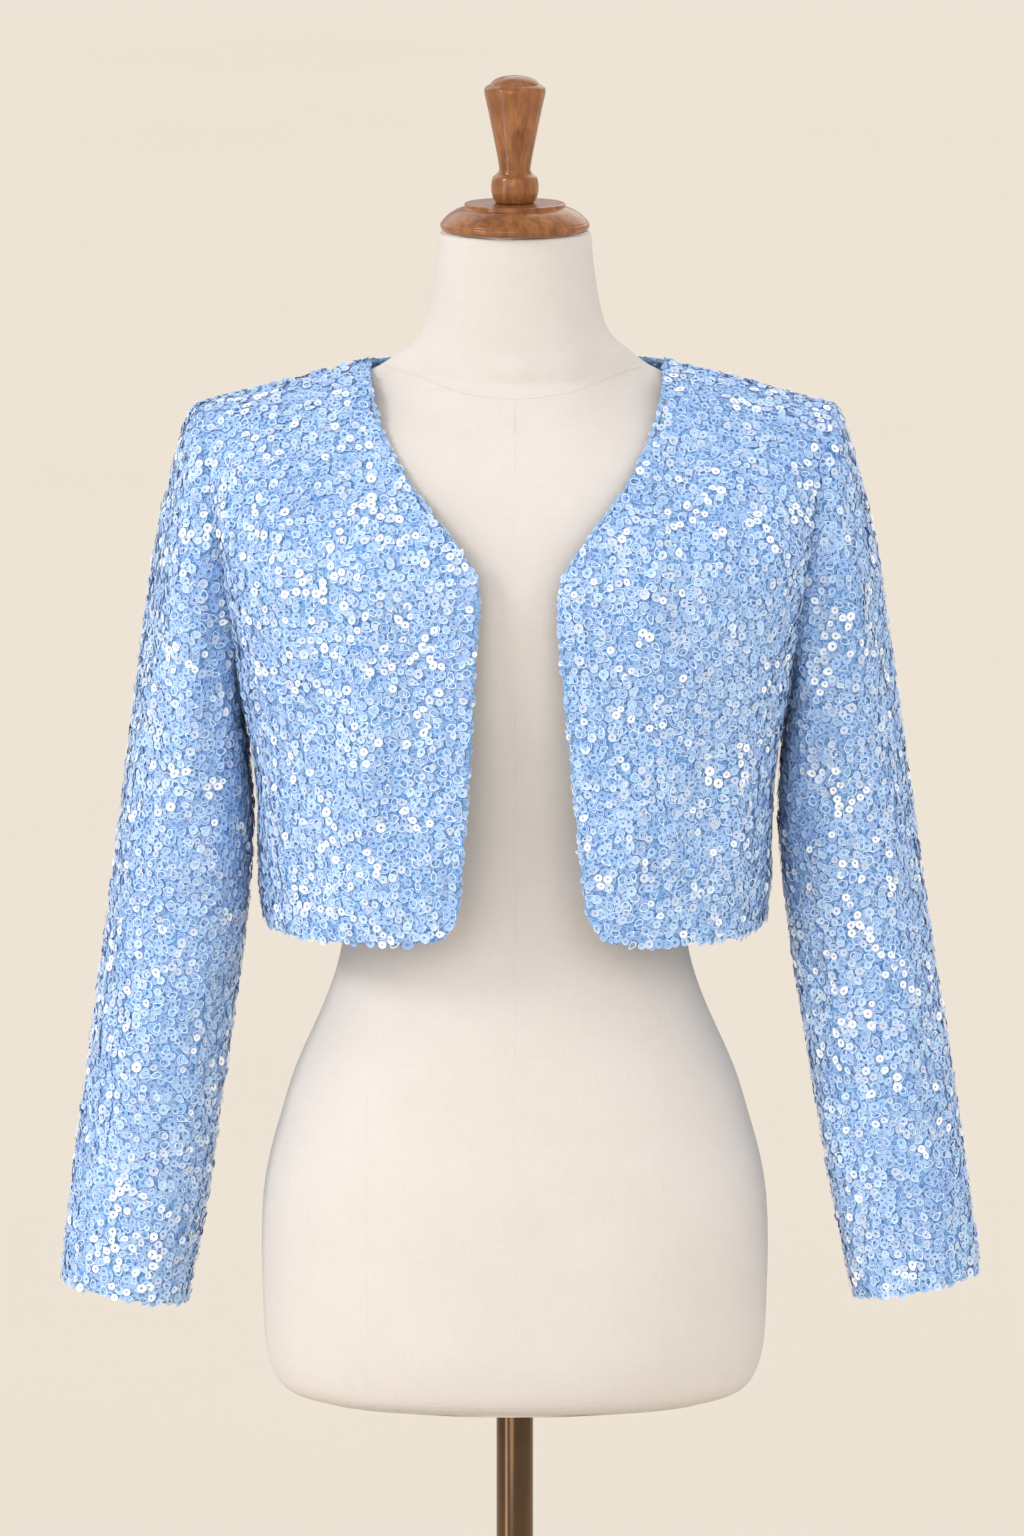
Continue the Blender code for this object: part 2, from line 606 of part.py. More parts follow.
def sleeve_tube(folds, swing, length_share):
    """Grids of a sleeve for the +X side: rows from the cuff up to the armhole."""
    place = np.linspace(len(SLEEVE_ROWS) - 1, 0, SLEEVE_RINGS)
    out_x, out_z, in_x, in_z, y, half_depth = (
        smooth_column(SLEEVE_ROWS, None, name, place)[:, None] for name in SleeveRow._fields
    )
    out_z = SHOULDER_Z - (SHOULDER_Z - out_z) * length_share
    in_z = UNDERARM_Z - (UNDERARM_Z - in_z) * length_share
    turn = math.pi * np.arange(2 * ARMHOLE_ROWS)[None] / ARMHOLE_ROWS
    drop = np.clip((SHOULDER_Z - out_z) / (SHOULDER_Z - SLEEVE_ROWS[-1].out_z), 0.0, 1.0)
    lean = swing * drop**SWING_CURVE
    x = (out_x + in_x) / 2 - (out_x - in_x) / 2 * np.cos(turn) + lean
    z = (out_z + in_z) / 2 - (out_z - in_z) / 2 * np.cos(turn)
    points = np.stack([x, y - half_depth * np.sin(turn), z], axis=2)
    length = np.linspace(1.0, 0.0, SLEEVE_RINGS)[:, None]
    radius = np.maximum(half_depth, (out_x - in_x) / 2)
    angle = np.pi - turn
    moved = np.zeros(points.shape[:-1])
    for fold in folds:
        apart = (angle - math.radians(fold.angle) + math.pi) % (2 * math.pi) - math.pi
        fade = smooth_step((length - fold.start) / SLEEVE_FOLD_FADE + 0.5)
        fade = fade * smooth_step((fold.end - length) / SLEEVE_FOLD_FADE + 0.5)
        moved += fold.height * fade * np.exp(-((apart * radius / fold.width) ** 2))
    points = points + grid_normals(points, True) * moved[..., None]
    normals = grid_normals(points, True)
    towards = [(row, -1) for row in range(ARMHOLE_ROWS)]
    towards += [(row, 1) for row in range(ARMHOLE_ROWS, 0, -1)]
    normals[-1] = [armhole_normal(row, side) for row, side in towards]
    points[-1] = [armhole_point(row, side) for row, side in towards]
    points[-1, :, 0] += SEAM_INSET
    return points, points - normals * WALL


def wall_solid(outer, inner, wrap=False):
    """A closed wall between two grids: both faces and the rim round every open edge."""
    bm = bmesh.new()
    rows, columns = outer.shape[:2]
    near = [[bm.verts.new(p) for p in line] for line in outer.tolist()]
    far = [[bm.verts.new(p) for p in line] for line in inner.tolist()]
    last = columns if wrap else columns - 1
    for i in range(rows - 1):
        for j in range(last):
            k = (j + 1) % columns
            bm.faces.new((near[i][j], near[i][k], near[i + 1][k], near[i + 1][j]))
            bm.faces.new((far[i][j], far[i + 1][j], far[i + 1][k], far[i][k]))
    for j in range(last):
        k = (j + 1) % columns
        bm.faces.new((near[0][k], near[0][j], far[0][j], far[0][k]))
        bm.faces.new((near[-1][j], near[-1][k], far[-1][k], far[-1][j]))
    if not wrap:
        for i in range(rows - 1):
            bm.faces.new((near[i][0], near[i + 1][0], far[i + 1][0], far[i][0]))
            bm.faces.new((near[i + 1][-1], near[i][-1], far[i][-1], far[i + 1][-1]))
    return bm


def ring_solid(rings):
    """A closed solid through rings of points, with flat ends."""
    bm = bmesh.new()
    loops = [[bm.verts.new(p) for p in ring] for ring in rings]
    count = len(loops[0])
    for low, high in zip(loops, loops[1:]):
        for j in range(count):
            k = (j + 1) % count
            bm.faces.new((low[j], low[k], high[k], high[j]))
    bm.faces.new(loops[0][::-1])
    bm.faces.new(loops[-1])
    bmesh.ops.recalc_face_normals(bm, faces=bm.faces)
    return bm


def turned_solid(profile, base_z, sides):
    """A solid of revolution from pairs of radius and height above base_z."""
    angles = [2 * math.pi * k / sides for k in range(sides)]
    rings = [
        [(r * math.cos(a), r * math.sin(a), base_z + h) for a in angles] for r, h in profile
    ]
    return ring_solid(rings)


def make_cloth():
    for name, edge, folds, sign in (
        ("left_front", "left_x", LEFT_FRONT_FOLDS, 1),
        ("right_front", "right_x", RIGHT_FRONT_FOLDS, -1),
    ):
        outer, inner, strip = front_panel(edge, folds, sign)
        if sign < 0:
            outer, inner = other_side(outer)[:, ::-1], other_side(inner)[:, ::-1]
            strip = other_side(strip)
        add_object(name, wall_solid(outer, inner), SEQUIN_BLUE)
        add_object(name + "_edge", ring_solid(strip.tolist()), STRIP_BLUE)
    outer, inner, strip = back_panel()
    add_object("back", wall_solid(outer, inner), SEQUIN_BLUE)
    add_object("back_neck_edge", ring_solid(strip.tolist()), STRIP_BLUE)
    outer, inner = sleeve_tube(LEFT_SLEEVE_FOLDS, LEFT_SLEEVE_SWING, LEFT_SLEEVE_LENGTH)
    add_object("left_sleeve", wall_solid(outer, inner, True), SEQUIN_BLUE)
    grids = sleeve_tube(RIGHT_SLEEVE_FOLDS, 0.0, RIGHT_SLEEVE_LENGTH)
    outer, inner = (other_side(grid)[:, ::-1] for grid in grids)
    add_object("right_sleeve", wall_solid(outer, inner, True), SEQUIN_BLUE)


def torso_ring(z, half_width, front, back, squareness):
    """One section of the form, thinner towards the ends of its shoulders."""
    ring = []
    pinch = SHOULDER_PINCH * math.exp(-(((z - SHOULDER_PINCH_Z) / SHOULDER_PINCH_HEIGHT) ** 2))
    for k in range(TORSO_SIDES):
        angle = 2 * math.pi * k / TORSO_SIDES
        c, s = math.cos(angle), math.sin(angle)
        x = half_width * math.copysign(abs(c) ** (2 / squareness), c)
        outward = float(smooth_step((abs(x) - SHOULDER_PINCH_FROM_X) / SHOULDER_PINCH_EASE))
        depth = (back if s > 0 else front) * (1 - pinch * outward)
        ring.append((x, depth * math.copysign(abs(s) ** (2 / squareness), s), z))
    return ring


def torso_end(z, row):
    """The flat end beyond a section, a little smaller so that its edge is eased."""
    sizes = [size * TORSO_END_SCALE for size in (row.half_width, row.front, row.back)]
    return torso_ring(z, *sizes, row.squareness)


def make_torso():
    rings = [torso_ring(*row) for row in TORSO_ROWS]
    rings.insert(0, torso_end(TORSO_BOTTOM_Z, TORSO_ROWS[0]))
    rings.append(torso_end(NECK_TOP_Z, TORSO_ROWS[-1]))
    add_object("torso", ring_solid(rings), LINEN)


def make_stand():
    cap_z = NECK_TOP_Z + REST_GAP
    add_object("neck_cap", turned_solid(CAP_PROFILE, cap_z, TURNED_SIDES), WOOD)
    finial_z = cap_z + CAP_PROFILE[-1][1] + REST_GAP
    add_object("neck_finial", turned_solid(FINIAL_PROFILE, finial_z, TURNED_SIDES), WOOD)
    base = (
        (BASE_RADIUS, 0.0),
        (BASE_RADIUS, BASE_THICKNESS - BASE_BEVEL),
        (BASE_RADIUS - BASE_BEVEL, BASE_THICKNESS),
    )
    add_object("stand_base", turned_solid(base, 0.0, 2 * TURNED_SIDES), BRONZE)
    pole_z = BASE_THICKNESS + REST_GAP
    pole = ((POLE_RADIUS, 0.0), (POLE_RADIUS, TORSO_BOTTOM_Z - REST_GAP - pole_z))
    add_object("pole", turned_solid(pole, pole_z, TURNED_SIDES), BRONZE)


def main():
    clear_scene()
    make_cloth()
    make_torso()
    make_stand()


main()
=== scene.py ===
# %% [markdown]
# # A sequinned bolero jacket on a dress form
#
# This lesson dresses a packed 3D model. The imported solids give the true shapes
# and places. The lesson lays the real surface over them: cloth with soft
# creases, thousands of sewn sequins, loops of thread, linen, turned wood and
# bronze. Every size is in metres, with Z up and the jacket's front towards -Y.

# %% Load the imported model
import json
import math

import bmesh
import bpy
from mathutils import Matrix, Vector
from mathutils.bvhtree import BVHTree

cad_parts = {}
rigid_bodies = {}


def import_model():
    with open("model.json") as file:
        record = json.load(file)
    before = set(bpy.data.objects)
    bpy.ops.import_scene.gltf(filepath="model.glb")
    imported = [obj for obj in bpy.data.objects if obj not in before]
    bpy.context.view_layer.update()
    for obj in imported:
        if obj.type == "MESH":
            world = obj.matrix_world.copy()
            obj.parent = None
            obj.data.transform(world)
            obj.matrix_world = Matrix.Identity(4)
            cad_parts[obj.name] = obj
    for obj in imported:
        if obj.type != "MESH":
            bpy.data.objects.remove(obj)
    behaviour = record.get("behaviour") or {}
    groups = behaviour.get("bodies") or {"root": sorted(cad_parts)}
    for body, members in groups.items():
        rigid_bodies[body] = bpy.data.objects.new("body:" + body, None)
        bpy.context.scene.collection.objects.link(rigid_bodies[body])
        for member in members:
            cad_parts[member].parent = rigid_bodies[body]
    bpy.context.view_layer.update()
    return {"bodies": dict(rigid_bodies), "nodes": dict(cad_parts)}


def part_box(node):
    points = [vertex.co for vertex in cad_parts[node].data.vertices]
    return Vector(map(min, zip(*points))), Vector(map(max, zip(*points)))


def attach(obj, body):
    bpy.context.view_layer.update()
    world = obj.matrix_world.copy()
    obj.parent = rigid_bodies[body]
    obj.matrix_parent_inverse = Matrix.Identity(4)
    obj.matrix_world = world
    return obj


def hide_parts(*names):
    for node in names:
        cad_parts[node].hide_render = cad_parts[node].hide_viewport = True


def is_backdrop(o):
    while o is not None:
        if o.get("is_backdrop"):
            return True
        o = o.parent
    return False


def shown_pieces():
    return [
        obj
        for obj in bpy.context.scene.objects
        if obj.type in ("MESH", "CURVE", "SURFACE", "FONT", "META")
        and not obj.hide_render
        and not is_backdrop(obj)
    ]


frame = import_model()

BODY = list(frame["bodies"])[0]
print("nodes:", sorted(frame["nodes"]))

# %% [markdown]
# ## The camera
#
# The picture is taken from far away with a long lens, a little above the
# chest. A long lens keeps the shoulders and hips in one scale. The camera is
# made first, so that every later piece can be looked at from the same place.

# %% The camera
CAMERA_TARGET = Vector((-0.002, 0.0, 1.13))
CAMERA_DISTANCE = 8.0
CAMERA_ELEVATION = math.radians(9.3)
CAMERA_LENS = 268.0

camera_data = bpy.data.cameras.new("camera")
camera_data.lens = CAMERA_LENS
camera_data.sensor_width = 36.0
camera_data.clip_end = 120.0
camera = bpy.data.objects.new("camera", camera_data)
bpy.context.scene.collection.objects.link(camera)
towards = Vector((0.0, -math.cos(CAMERA_ELEVATION), math.sin(CAMERA_ELEVATION)))
camera.location = CAMERA_TARGET + towards * CAMERA_DISTANCE
camera.rotation_euler = towards.to_track_quat("Z", "Y").to_euler()
bpy.context.scene.camera = camera
bpy.context.scene.view_settings.view_transform = "Standard"
print("camera at", tuple(round(c, 3) for c in camera.location))

# %% [markdown]
# ## Helpers for nodes
#
# Materials and the scattering of sequins are both graphs of nodes. A few small
# helpers keep them readable: they add a node and fill in its values, do one
# sum, map a range, blend two colours, or make a material that is ready to use.

# %% Helpers for nodes
def add_node(tree, kind, inputs=None, **settings):
    """Adds a node, sets its own settings, and fills or links its inputs by name."""
    node = tree.nodes.new(kind)
    for name, value in settings.items():
        setattr(node, name, value)
    for name, value in (inputs or {}).items():
        if isinstance(value, bpy.types.NodeSocket):
            tree.links.new(value, node.inputs[name])
        else:
            node.inputs[name].default_value = value
    return node


def math_node(tree, operation, *values):
    """A node for one sum on numbers."""
    return add_node(tree, "ShaderNodeMath", dict(enumerate(values)), operation=operation)


def vector_node(tree, operation, *values):
    """A node for one sum on vectors."""
    return add_node(tree, "ShaderNodeVectorMath", dict(enumerate(values)), operation=operation)


def range_node(tree, value, source, result=(0.0, 1.0)):
    """Maps a value from one range of numbers to another, and keeps it within."""
    return add_node(tree, "ShaderNodeMapRange",
                    {"Value": value, "From Min": source[0], "From Max": source[1],
                     "To Min": result[0], "To Max": result[1]})


def noise_node(tree, place, scale, **more):
    """Soft noise at a place, this many waves a metre."""
    return add_node(tree, "ShaderNodeTexNoise", {"Vector": place, "Scale": scale, **more})


def mix_colours(tree, factor, first, second, blend="MIX"):
    """Blends two colours, each of them a plain value or another node's output."""
    node = add_node(tree, "ShaderNodeMix", {"Factor": factor}, data_type="RGBA", blend_type=blend)
    for socket, colour in ((node.inputs[6], first), (node.inputs[7], second)):
        if isinstance(colour, bpy.types.NodeSocket):
            tree.links.new(colour, socket)
        else:
            socket.default_value = colour
    return node


def add_bump(tree, shader, height, strength, distance):
    """Raises the finish by this height, through the shader's Normal."""
    node = add_node(tree, "ShaderNodeBump", {"Height": height, "Strength": strength, "Distance": distance})
    tree.links.new(node.outputs[0], shader.inputs["Normal"])


def ramp_node(tree, factor, stops):
    """A colour ramp from pairs of place and colour."""
    node = add_node(tree, "ShaderNodeValToRGB", {"Fac": factor})
    elements = node.color_ramp.elements
    while len(elements) < len(stops):
        elements.new(1.0)
    for element, (place, colour) in zip(elements, stops):
        element.position = place
        element.color = (*colour, 1.0)
    return node


def new_material(name, **values):
    """A material whose Principled shader has these plain values."""
    material = bpy.data.materials.new(name)
    material.use_nodes = True
    shader = material.node_tree.nodes["Principled BSDF"]
    for socket, value in values.items():
        shader.inputs[socket.replace("_", " ")].default_value = value
    return material, material.node_tree, shader


def new_group(name, inputs, outputs):
    """A shader node group with named sockets, and its input and output nodes."""
    group = bpy.data.node_groups.new(name, "ShaderNodeTree")
    for socket, kind, value in inputs:
        made = group.interface.new_socket(socket, in_out="INPUT", socket_type=kind)
        made.default_value = value
    for socket, kind in outputs:
        group.interface.new_socket(socket, in_out="OUTPUT", socket_type=kind)
    return group, group.nodes.new("NodeGroupInput"), group.nodes.new("NodeGroupOutput")


def use_group(tree, group, inputs):
    """Places a group in a material with its own values."""
    node = tree.nodes.new("ShaderNodeGroup")
    node.node_tree = group
    for name, value in inputs.items():
        if isinstance(value, bpy.types.NodeSocket):
            tree.links.new(value, node.inputs[name])
        else:
            node.inputs[name].default_value = value
    return node


# %% [markdown]
# ## The floor, the air and the lights
#
# A studio picture like this has one pale cream floor that runs on without an
# end, and soft light from the left. Broad sun lamps give the same light at
# every distance, so the floor has one tone. A tall soft box stands to the left
# of the camera, and its long reflection shows on the pole and the wood. It is
# linked to spare the floor, which would have a bright pool under it. The two
# fills from the right leave no reflections of their own. The world
# fills the shadows, and past the floor's end it has the floor's own colour.

# %% The floor
CREAM = (0.862, 0.780, 0.674)
PAPER = tuple(c * 0.881 for c in CREAM)
FLOOR_RADIUS = 75.0
FLOOR_SEGMENTS = 96

floor_mesh = bpy.data.meshes.new("floor")
floor_bm = bmesh.new()
bmesh.ops.create_circle(floor_bm, cap_ends=True, segments=FLOOR_SEGMENTS, radius=FLOOR_RADIUS)
bmesh.ops.translate(floor_bm, verts=floor_bm.verts, vec=(0.0, 0.0, -0.0002))
floor_bm.to_mesh(floor_mesh)
floor_bm.free()
floor = bpy.data.objects.new("floor", floor_mesh)
bpy.context.scene.collection.objects.link(floor)
floor_material, tree, shader = new_material("floor_paper", Roughness=1.0, Specular_IOR_Level=0.0)
coordinates = add_node(tree, "ShaderNodeTexCoord")
paper = noise_node(tree, coordinates.outputs["Object"], 1.2)
tones = ramp_node(tree, paper.outputs["Fac"],
                  [(0.3, tuple(c * 0.995 for c in PAPER)), (0.7, tuple(c * 1.005 for c in PAPER))])
tree.links.new(tones.outputs["Color"], shader.inputs["Base Color"])
floor_mesh.materials.append(floor_material)
floor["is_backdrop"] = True

# %% The lights
def add_sun(name, azimuth, elevation, strength, spread):
    """A sun lamp. Azimuth 0 is in front, and negative is to the left of the picture."""
    data = bpy.data.lights.new(name, "SUN")
    data.energy = strength
    data.angle = math.radians(spread)
    lamp = bpy.data.objects.new(name, data)
    bpy.context.scene.collection.objects.link(lamp)
    a, e = math.radians(azimuth), math.radians(elevation)
    from_lamp = Vector((math.sin(a) * math.cos(e), -math.cos(a) * math.cos(e), math.sin(e)))
    lamp.rotation_euler = from_lamp.to_track_quat("Z", "Y").to_euler()
    lamp.location = from_lamp * 3.0 + Vector((0.0, 0.0, 1.1))
    return lamp


def add_soft_box(name, azimuth, distance, width, height, power):
    """A tall lamp that stands on the floor and faces the form."""
    data = bpy.data.lights.new(name, "AREA")
    data.shape = "RECTANGLE"
    data.size, data.size_y = width, height
    data.energy = power
    lamp = bpy.data.objects.new(name, data)
    bpy.context.scene.collection.objects.link(lamp)
    a = math.radians(azimuth)
    outwards = Vector((math.sin(a), -math.cos(a), 0.0))
    lamp.rotation_euler = outwards.to_track_quat("Z", "Y").to_euler()
    lamp.location = outwards * distance + Vector((0.0, 0.0, height / 2))
    lamp.visible_camera = False
    spared = bpy.data.collections.new("spared_by_" + name)
    spared.objects.link(floor)
    spared.collection_objects[0].light_linking.link_state = "EXCLUDE"
    lamp.light_linking.receiver_collection = spared
    return lamp


add_sun("key", -64.0, 34.0, 1.00, 16.0)
add_sun("left_front_fill", -20.0, 22.0, 0.70, 36.0)
fills = (add_sun("right_front_fill", 20.0, 22.0, 0.60, 36.0),
         add_sun("right_fill", 80.0, 25.0, 0.88, 50.0))
for fill in fills:
    fill.visible_glossy = False
add_sun("back_left", -140.0, 30.0, 0.50, 50.0)
add_sun("back_right", 160.0, 30.0, 0.60, 50.0)
add_soft_box("tall_soft_box", -54.0, 2.6, 0.65, 2.6, 15.0)

# %% The air round the studio
AIR = 0.50
world = bpy.data.worlds.new("studio_air")
world.use_nodes = True
bpy.context.scene.world = world
background = world.node_tree.nodes["Background"]
rays = add_node(world.node_tree, "ShaderNodeLightPath")
air = mix_colours(world.node_tree, rays.outputs["Is Camera Ray"], (AIR, AIR, AIR, 1.0), (*CREAM, 1.0))
world.node_tree.links.new(air.outputs[2], background.inputs["Color"])

# %% [markdown]
# ## Three shared effects
#
# Woven threads, a slow change of tone and rings of painted highlight and shade
# turn up in more than one finish, so each is a node group that is built once.
# The weave makes two sets of fine waves that cross. The mottle mixes two
# colours by soft noise. The rings follow the distance from a sequin's middle.

# %% The weave group
weave, gin, gout = new_group(
    "woven_threads",
    [("Vector", "NodeSocketVector", (0.0, 0.0, 0.0)), ("Threads per metre", "NodeSocketFloat", 1400.0),
     ("Slub", "NodeSocketFloat", 0.4)],
    [("Height", "NodeSocketFloat"), ("Gaps", "NodeSocketFloat")])
slub = noise_node(weave, gin.outputs["Vector"], 60.0, Detail=2.0)
lean = math_node(weave, "MULTIPLY", slub.outputs["Fac"], gin.outputs["Slub"])
parts = add_node(weave, "ShaderNodeSeparateXYZ", {0: gin.outputs["Vector"]})
waves = []
for axis in ("X", "Y"):
    scaled = math_node(weave, "MULTIPLY", parts.outputs[axis], gin.outputs["Threads per metre"])
    bent = math_node(weave, "ADD", scaled.outputs[0], lean.outputs[0])
    turns = math_node(weave, "MULTIPLY", bent.outputs[0], math.pi)
    wave = math_node(weave, "SINE", turns.outputs[0])
    waves.append(math_node(weave, "ABSOLUTE", wave.outputs[0]))
height = math_node(weave, "MAXIMUM", waves[0].outputs[0], waves[1].outputs[0])
both = math_node(weave, "MULTIPLY", waves[0].outputs[0], waves[1].outputs[0])
gaps = range_node(weave, both.outputs[0], (0.0, 0.35))
weave.links.new(height.outputs[0], gout.inputs["Height"])
weave.links.new(gaps.outputs[0], gout.inputs["Gaps"])

# %% The mottle group
mottle, gin, gout = new_group(
    "slow_mottle",
    [("Vector", "NodeSocketVector", (0.0, 0.0, 0.0)), ("Scale", "NodeSocketFloat", 20.0),
     ("Light", "NodeSocketColor", (1.0, 1.0, 1.0, 1.0)), ("Dark", "NodeSocketColor", (0.5, 0.5, 0.5, 1.0))],
    [("Color", "NodeSocketColor"), ("Value", "NodeSocketFloat")])
soft = noise_node(mottle, gin.outputs["Vector"], gin.outputs["Scale"], Detail=4.0, Roughness=0.6)
spread = range_node(mottle, soft.outputs["Fac"], (0.32, 0.68))
mixed = mix_colours(mottle, spread.outputs[0], gin.outputs["Dark"], gin.outputs["Light"])
mottle.links.new(mixed.outputs[2], gout.inputs["Color"])
mottle.links.new(spread.outputs[0], gout.inputs["Value"])

# %% The group of painted highlight and shade rings
# The Line output is a pale ring. It is a painted highlight on the round sequins and thread on the petals.
# The Shade output is painted shade at the hole and the rim.
rings, gin, gout = new_group(
    "disc_highlight_and_shade",
    [("Vector", "NodeSocketVector", (0.5, 0.5, 0.0)), ("Place", "NodeSocketFloat", 0.8),
     ("Width", "NodeSocketFloat", 0.15), ("Rim", "NodeSocketFloat", 0.8), ("Hole", "NodeSocketFloat", 0.7)],
    [("Line", "NodeSocketFloat"), ("Shade", "NodeSocketFloat")])
centred = vector_node(rings, "SUBTRACT", gin.outputs["Vector"], (0.5, 0.5, 0.0))
reach = vector_node(rings, "LENGTH", centred.outputs[0])
radius = math_node(rings, "MULTIPLY", reach.outputs["Value"], 2.0)
off_line = math_node(rings, "SUBTRACT", radius.outputs[0], gin.outputs["Place"])
far = math_node(rings, "ABSOLUTE", off_line.outputs[0])
line = range_node(rings, far.outputs[0], (0.0, gin.outputs["Width"]), (1.0, 0.0))
at_hole = range_node(rings, radius.outputs[0], (0.20, 0.36), (gin.outputs["Hole"], 1.0))
at_rim = range_node(rings, radius.outputs[0], (0.90, 1.0), (1.0, gin.outputs["Rim"]))
shade = math_node(rings, "MULTIPLY", at_hole.outputs[0], at_rim.outputs[0])
rings.links.new(line.outputs[0], gout.inputs["Line"])
rings.links.new(shade.outputs[0], gout.inputs["Shade"])
print("groups:", [g.name for g in bpy.data.node_groups])

# %% [markdown]
# ## The finish of the sequins
#
# A sequin is a thin disc of blue film with a hole in the middle, which lets
# some light through and mirrors the rest. Each one takes its own tone, from
# mid blue to white. The tone is partly the film's own spread of colour and
# partly painted shade and painted reflection in place of each disc's tilt, and
# the white ones are painted glints. The tone is a number that the scattering
# stores on each disc. The disc's own flat map carries painted rings. Two pale
# lines, one inside the rim and one halfway in, are painted highlights, and the
# hole and the rim are darkened as painted shade. The petals that lie under the
# round discs are deeper in tone and more strongly lined, and on them the pale
# lines stand for thread.

# %% The two films
# The hole and the rim of each disc take painted shade towards this deep blue. The pale lines are painted
# highlights on the round sequins and thread on the petals.
PAINTED_SHADE_BLUE = (0.065, 0.215, 0.580, 1.0)
LINE_AND_HIGHLIGHT_BLUE = (0.860, 0.930, 1.000, 1.0)


def film_material(name, tones, ring_light_and_shade, second_line, line_share, low_gloss, high_gloss):
    """Thin pressed film: its own tone for each disc, with painted shade and glints, rings of painted
    highlight and shade, and a faint orange peel.
    """
    material, tree, shader = new_material(name, Specular_IOR_Level=0.5, Coat_Weight=0.25,
                                          Coat_Roughness=0.12)
    tone = add_node(tree, "ShaderNodeAttribute", attribute_name="tone")
    body_colour = ramp_node(tree, tone.outputs["Fac"], tones)
    disc_map = add_node(tree, "ShaderNodeUVMap", uv_map="disc")
    ring_shading = use_group(tree, rings, {"Vector": disc_map.outputs["UV"], **ring_light_and_shade})
    inner = use_group(tree, rings, {"Vector": disc_map.outputs["UV"], "Place": second_line, "Width": 0.11})
    lines = math_node(tree, "MAXIMUM", ring_shading.outputs["Line"], inner.outputs["Line"])
    strength = math_node(tree, "MULTIPLY", lines.outputs[0], line_share)
    lined = mix_colours(tree, strength.outputs[0], body_colour.outputs["Color"], LINE_AND_HIGHLIGHT_BLUE)
    shaded = mix_colours(tree, ring_shading.outputs["Shade"], PAINTED_SHADE_BLUE, lined.outputs[2])
    tree.links.new(shaded.outputs[2], shader.inputs["Base Color"])
    coordinates = add_node(tree, "ShaderNodeTexCoord")
    peel = noise_node(tree, coordinates.outputs["Object"], 900.0, Detail=1.0)
    gloss = range_node(tree, peel.outputs["Fac"], (0.0, 1.0), (low_gloss, high_gloss))
    tree.links.new(gloss.outputs[0], shader.inputs["Roughness"])
    add_bump(tree, shader, peel.outputs["Fac"], 0.2, 0.0003)
    return material


# The tone runs from deep to pale blue. The white at its top is the colour of the painted glints.
film = film_material("sequin_film", [
    (0.00, (0.135, 0.325, 0.700)), (0.30, (0.250, 0.475, 0.820)), (0.55, (0.420, 0.640, 0.910)),
    (0.68, (0.460, 0.550, 0.770)), (0.80, (0.580, 0.680, 0.870)), (0.90, (0.740, 0.870, 0.990)),
    (0.97, (0.990, 0.995, 1.000))],
    {"Place": 0.84, "Width": 0.16, "Rim": 0.62, "Hole": 0.50}, 0.40, 0.70, 0.16, 0.34)
petal_film = film_material("petal_film", [
    (0.00, (0.062, 0.245, 0.650)), (0.45, (0.125, 0.345, 0.760)), (0.85, (0.255, 0.495, 0.870)),
    (1.00, (0.620, 0.810, 0.990))],
    {"Place": 0.80, "Width": 0.13, "Rim": 0.50, "Hole": 0.55}, 0.46, 0.75, 0.25, 0.45)

# %% [markdown]
# ## The finish of the cloth under the sequins
#
# Between the sequins shows fine blue net, covered with loops of chain stitch.
# Cells of a Voronoi texture, pushed about by noise, draw those loops as
# raised light lines over the deeper blue of the net.

# %% The net and its stitches
net, tree, shader = new_material("stitched_net", Roughness=0.62, Sheen_Weight=0.3, Sheen_Roughness=0.5)
coordinates = add_node(tree, "ShaderNodeTexCoord")
push = noise_node(tree, coordinates.outputs["Object"], 260.0)
pushed = add_node(tree, "ShaderNodeMix", {"Factor": 0.004}, data_type="VECTOR")
tree.links.new(coordinates.outputs["Object"], pushed.inputs[4])
tree.links.new(push.outputs["Color"], pushed.inputs[5])
loops = add_node(tree, "ShaderNodeTexVoronoi", {"Vector": pushed.outputs[1], "Scale": 380.0},
                 feature="DISTANCE_TO_EDGE")
line = range_node(tree, loops.outputs["Distance"], (0.02, 0.16), (1.0, 0.0))
under = use_group(tree, mottle, {"Vector": coordinates.outputs["Object"], "Scale": 70.0,
                                 "Light": (0.125, 0.355, 0.770, 1.0), "Dark": (0.058, 0.235, 0.640, 1.0)})
threads = use_group(tree, weave, {"Vector": coordinates.outputs["Object"], "Threads per metre": 1900.0})
net_colour = mix_colours(tree, line.outputs[0], under.outputs["Color"], (0.430, 0.680, 0.960, 1.0))
tree.links.new(net_colour.outputs[2], shader.inputs["Base Color"])
raised = math_node(tree, "MULTIPLY_ADD", threads.outputs["Height"], 0.3, line.outputs[0])
add_bump(tree, shader, raised.outputs[0], 0.8, 0.0006)

# %% The thread of the loops
def thread_material(name, light, dark, pitch, roughness):
    """Twisted thread, in two close blues."""
    material, tree, shader = new_material(name, Roughness=roughness, Sheen_Weight=0.25)
    coordinates = add_node(tree, "ShaderNodeTexCoord")
    tones = use_group(tree, mottle, {"Vector": coordinates.outputs["Object"], "Scale": 140.0,
                                     "Light": (*light, 1.0), "Dark": (*dark, 1.0)})
    tree.links.new(tones.outputs["Color"], shader.inputs["Base Color"])
    fibres = use_group(tree, weave, {"Vector": coordinates.outputs["Object"], "Threads per metre": pitch,
                                     "Slub": 0.8})
    add_bump(tree, shader, fibres.outputs["Height"], 0.4, 0.0003)
    return material


loop_thread = thread_material("loop_thread", (0.800, 0.920, 1.000), (0.430, 0.680, 0.970), 2600.0, 0.4)
print("jacket finishes:", film.name, petal_film.name, net.name, loop_thread.name)

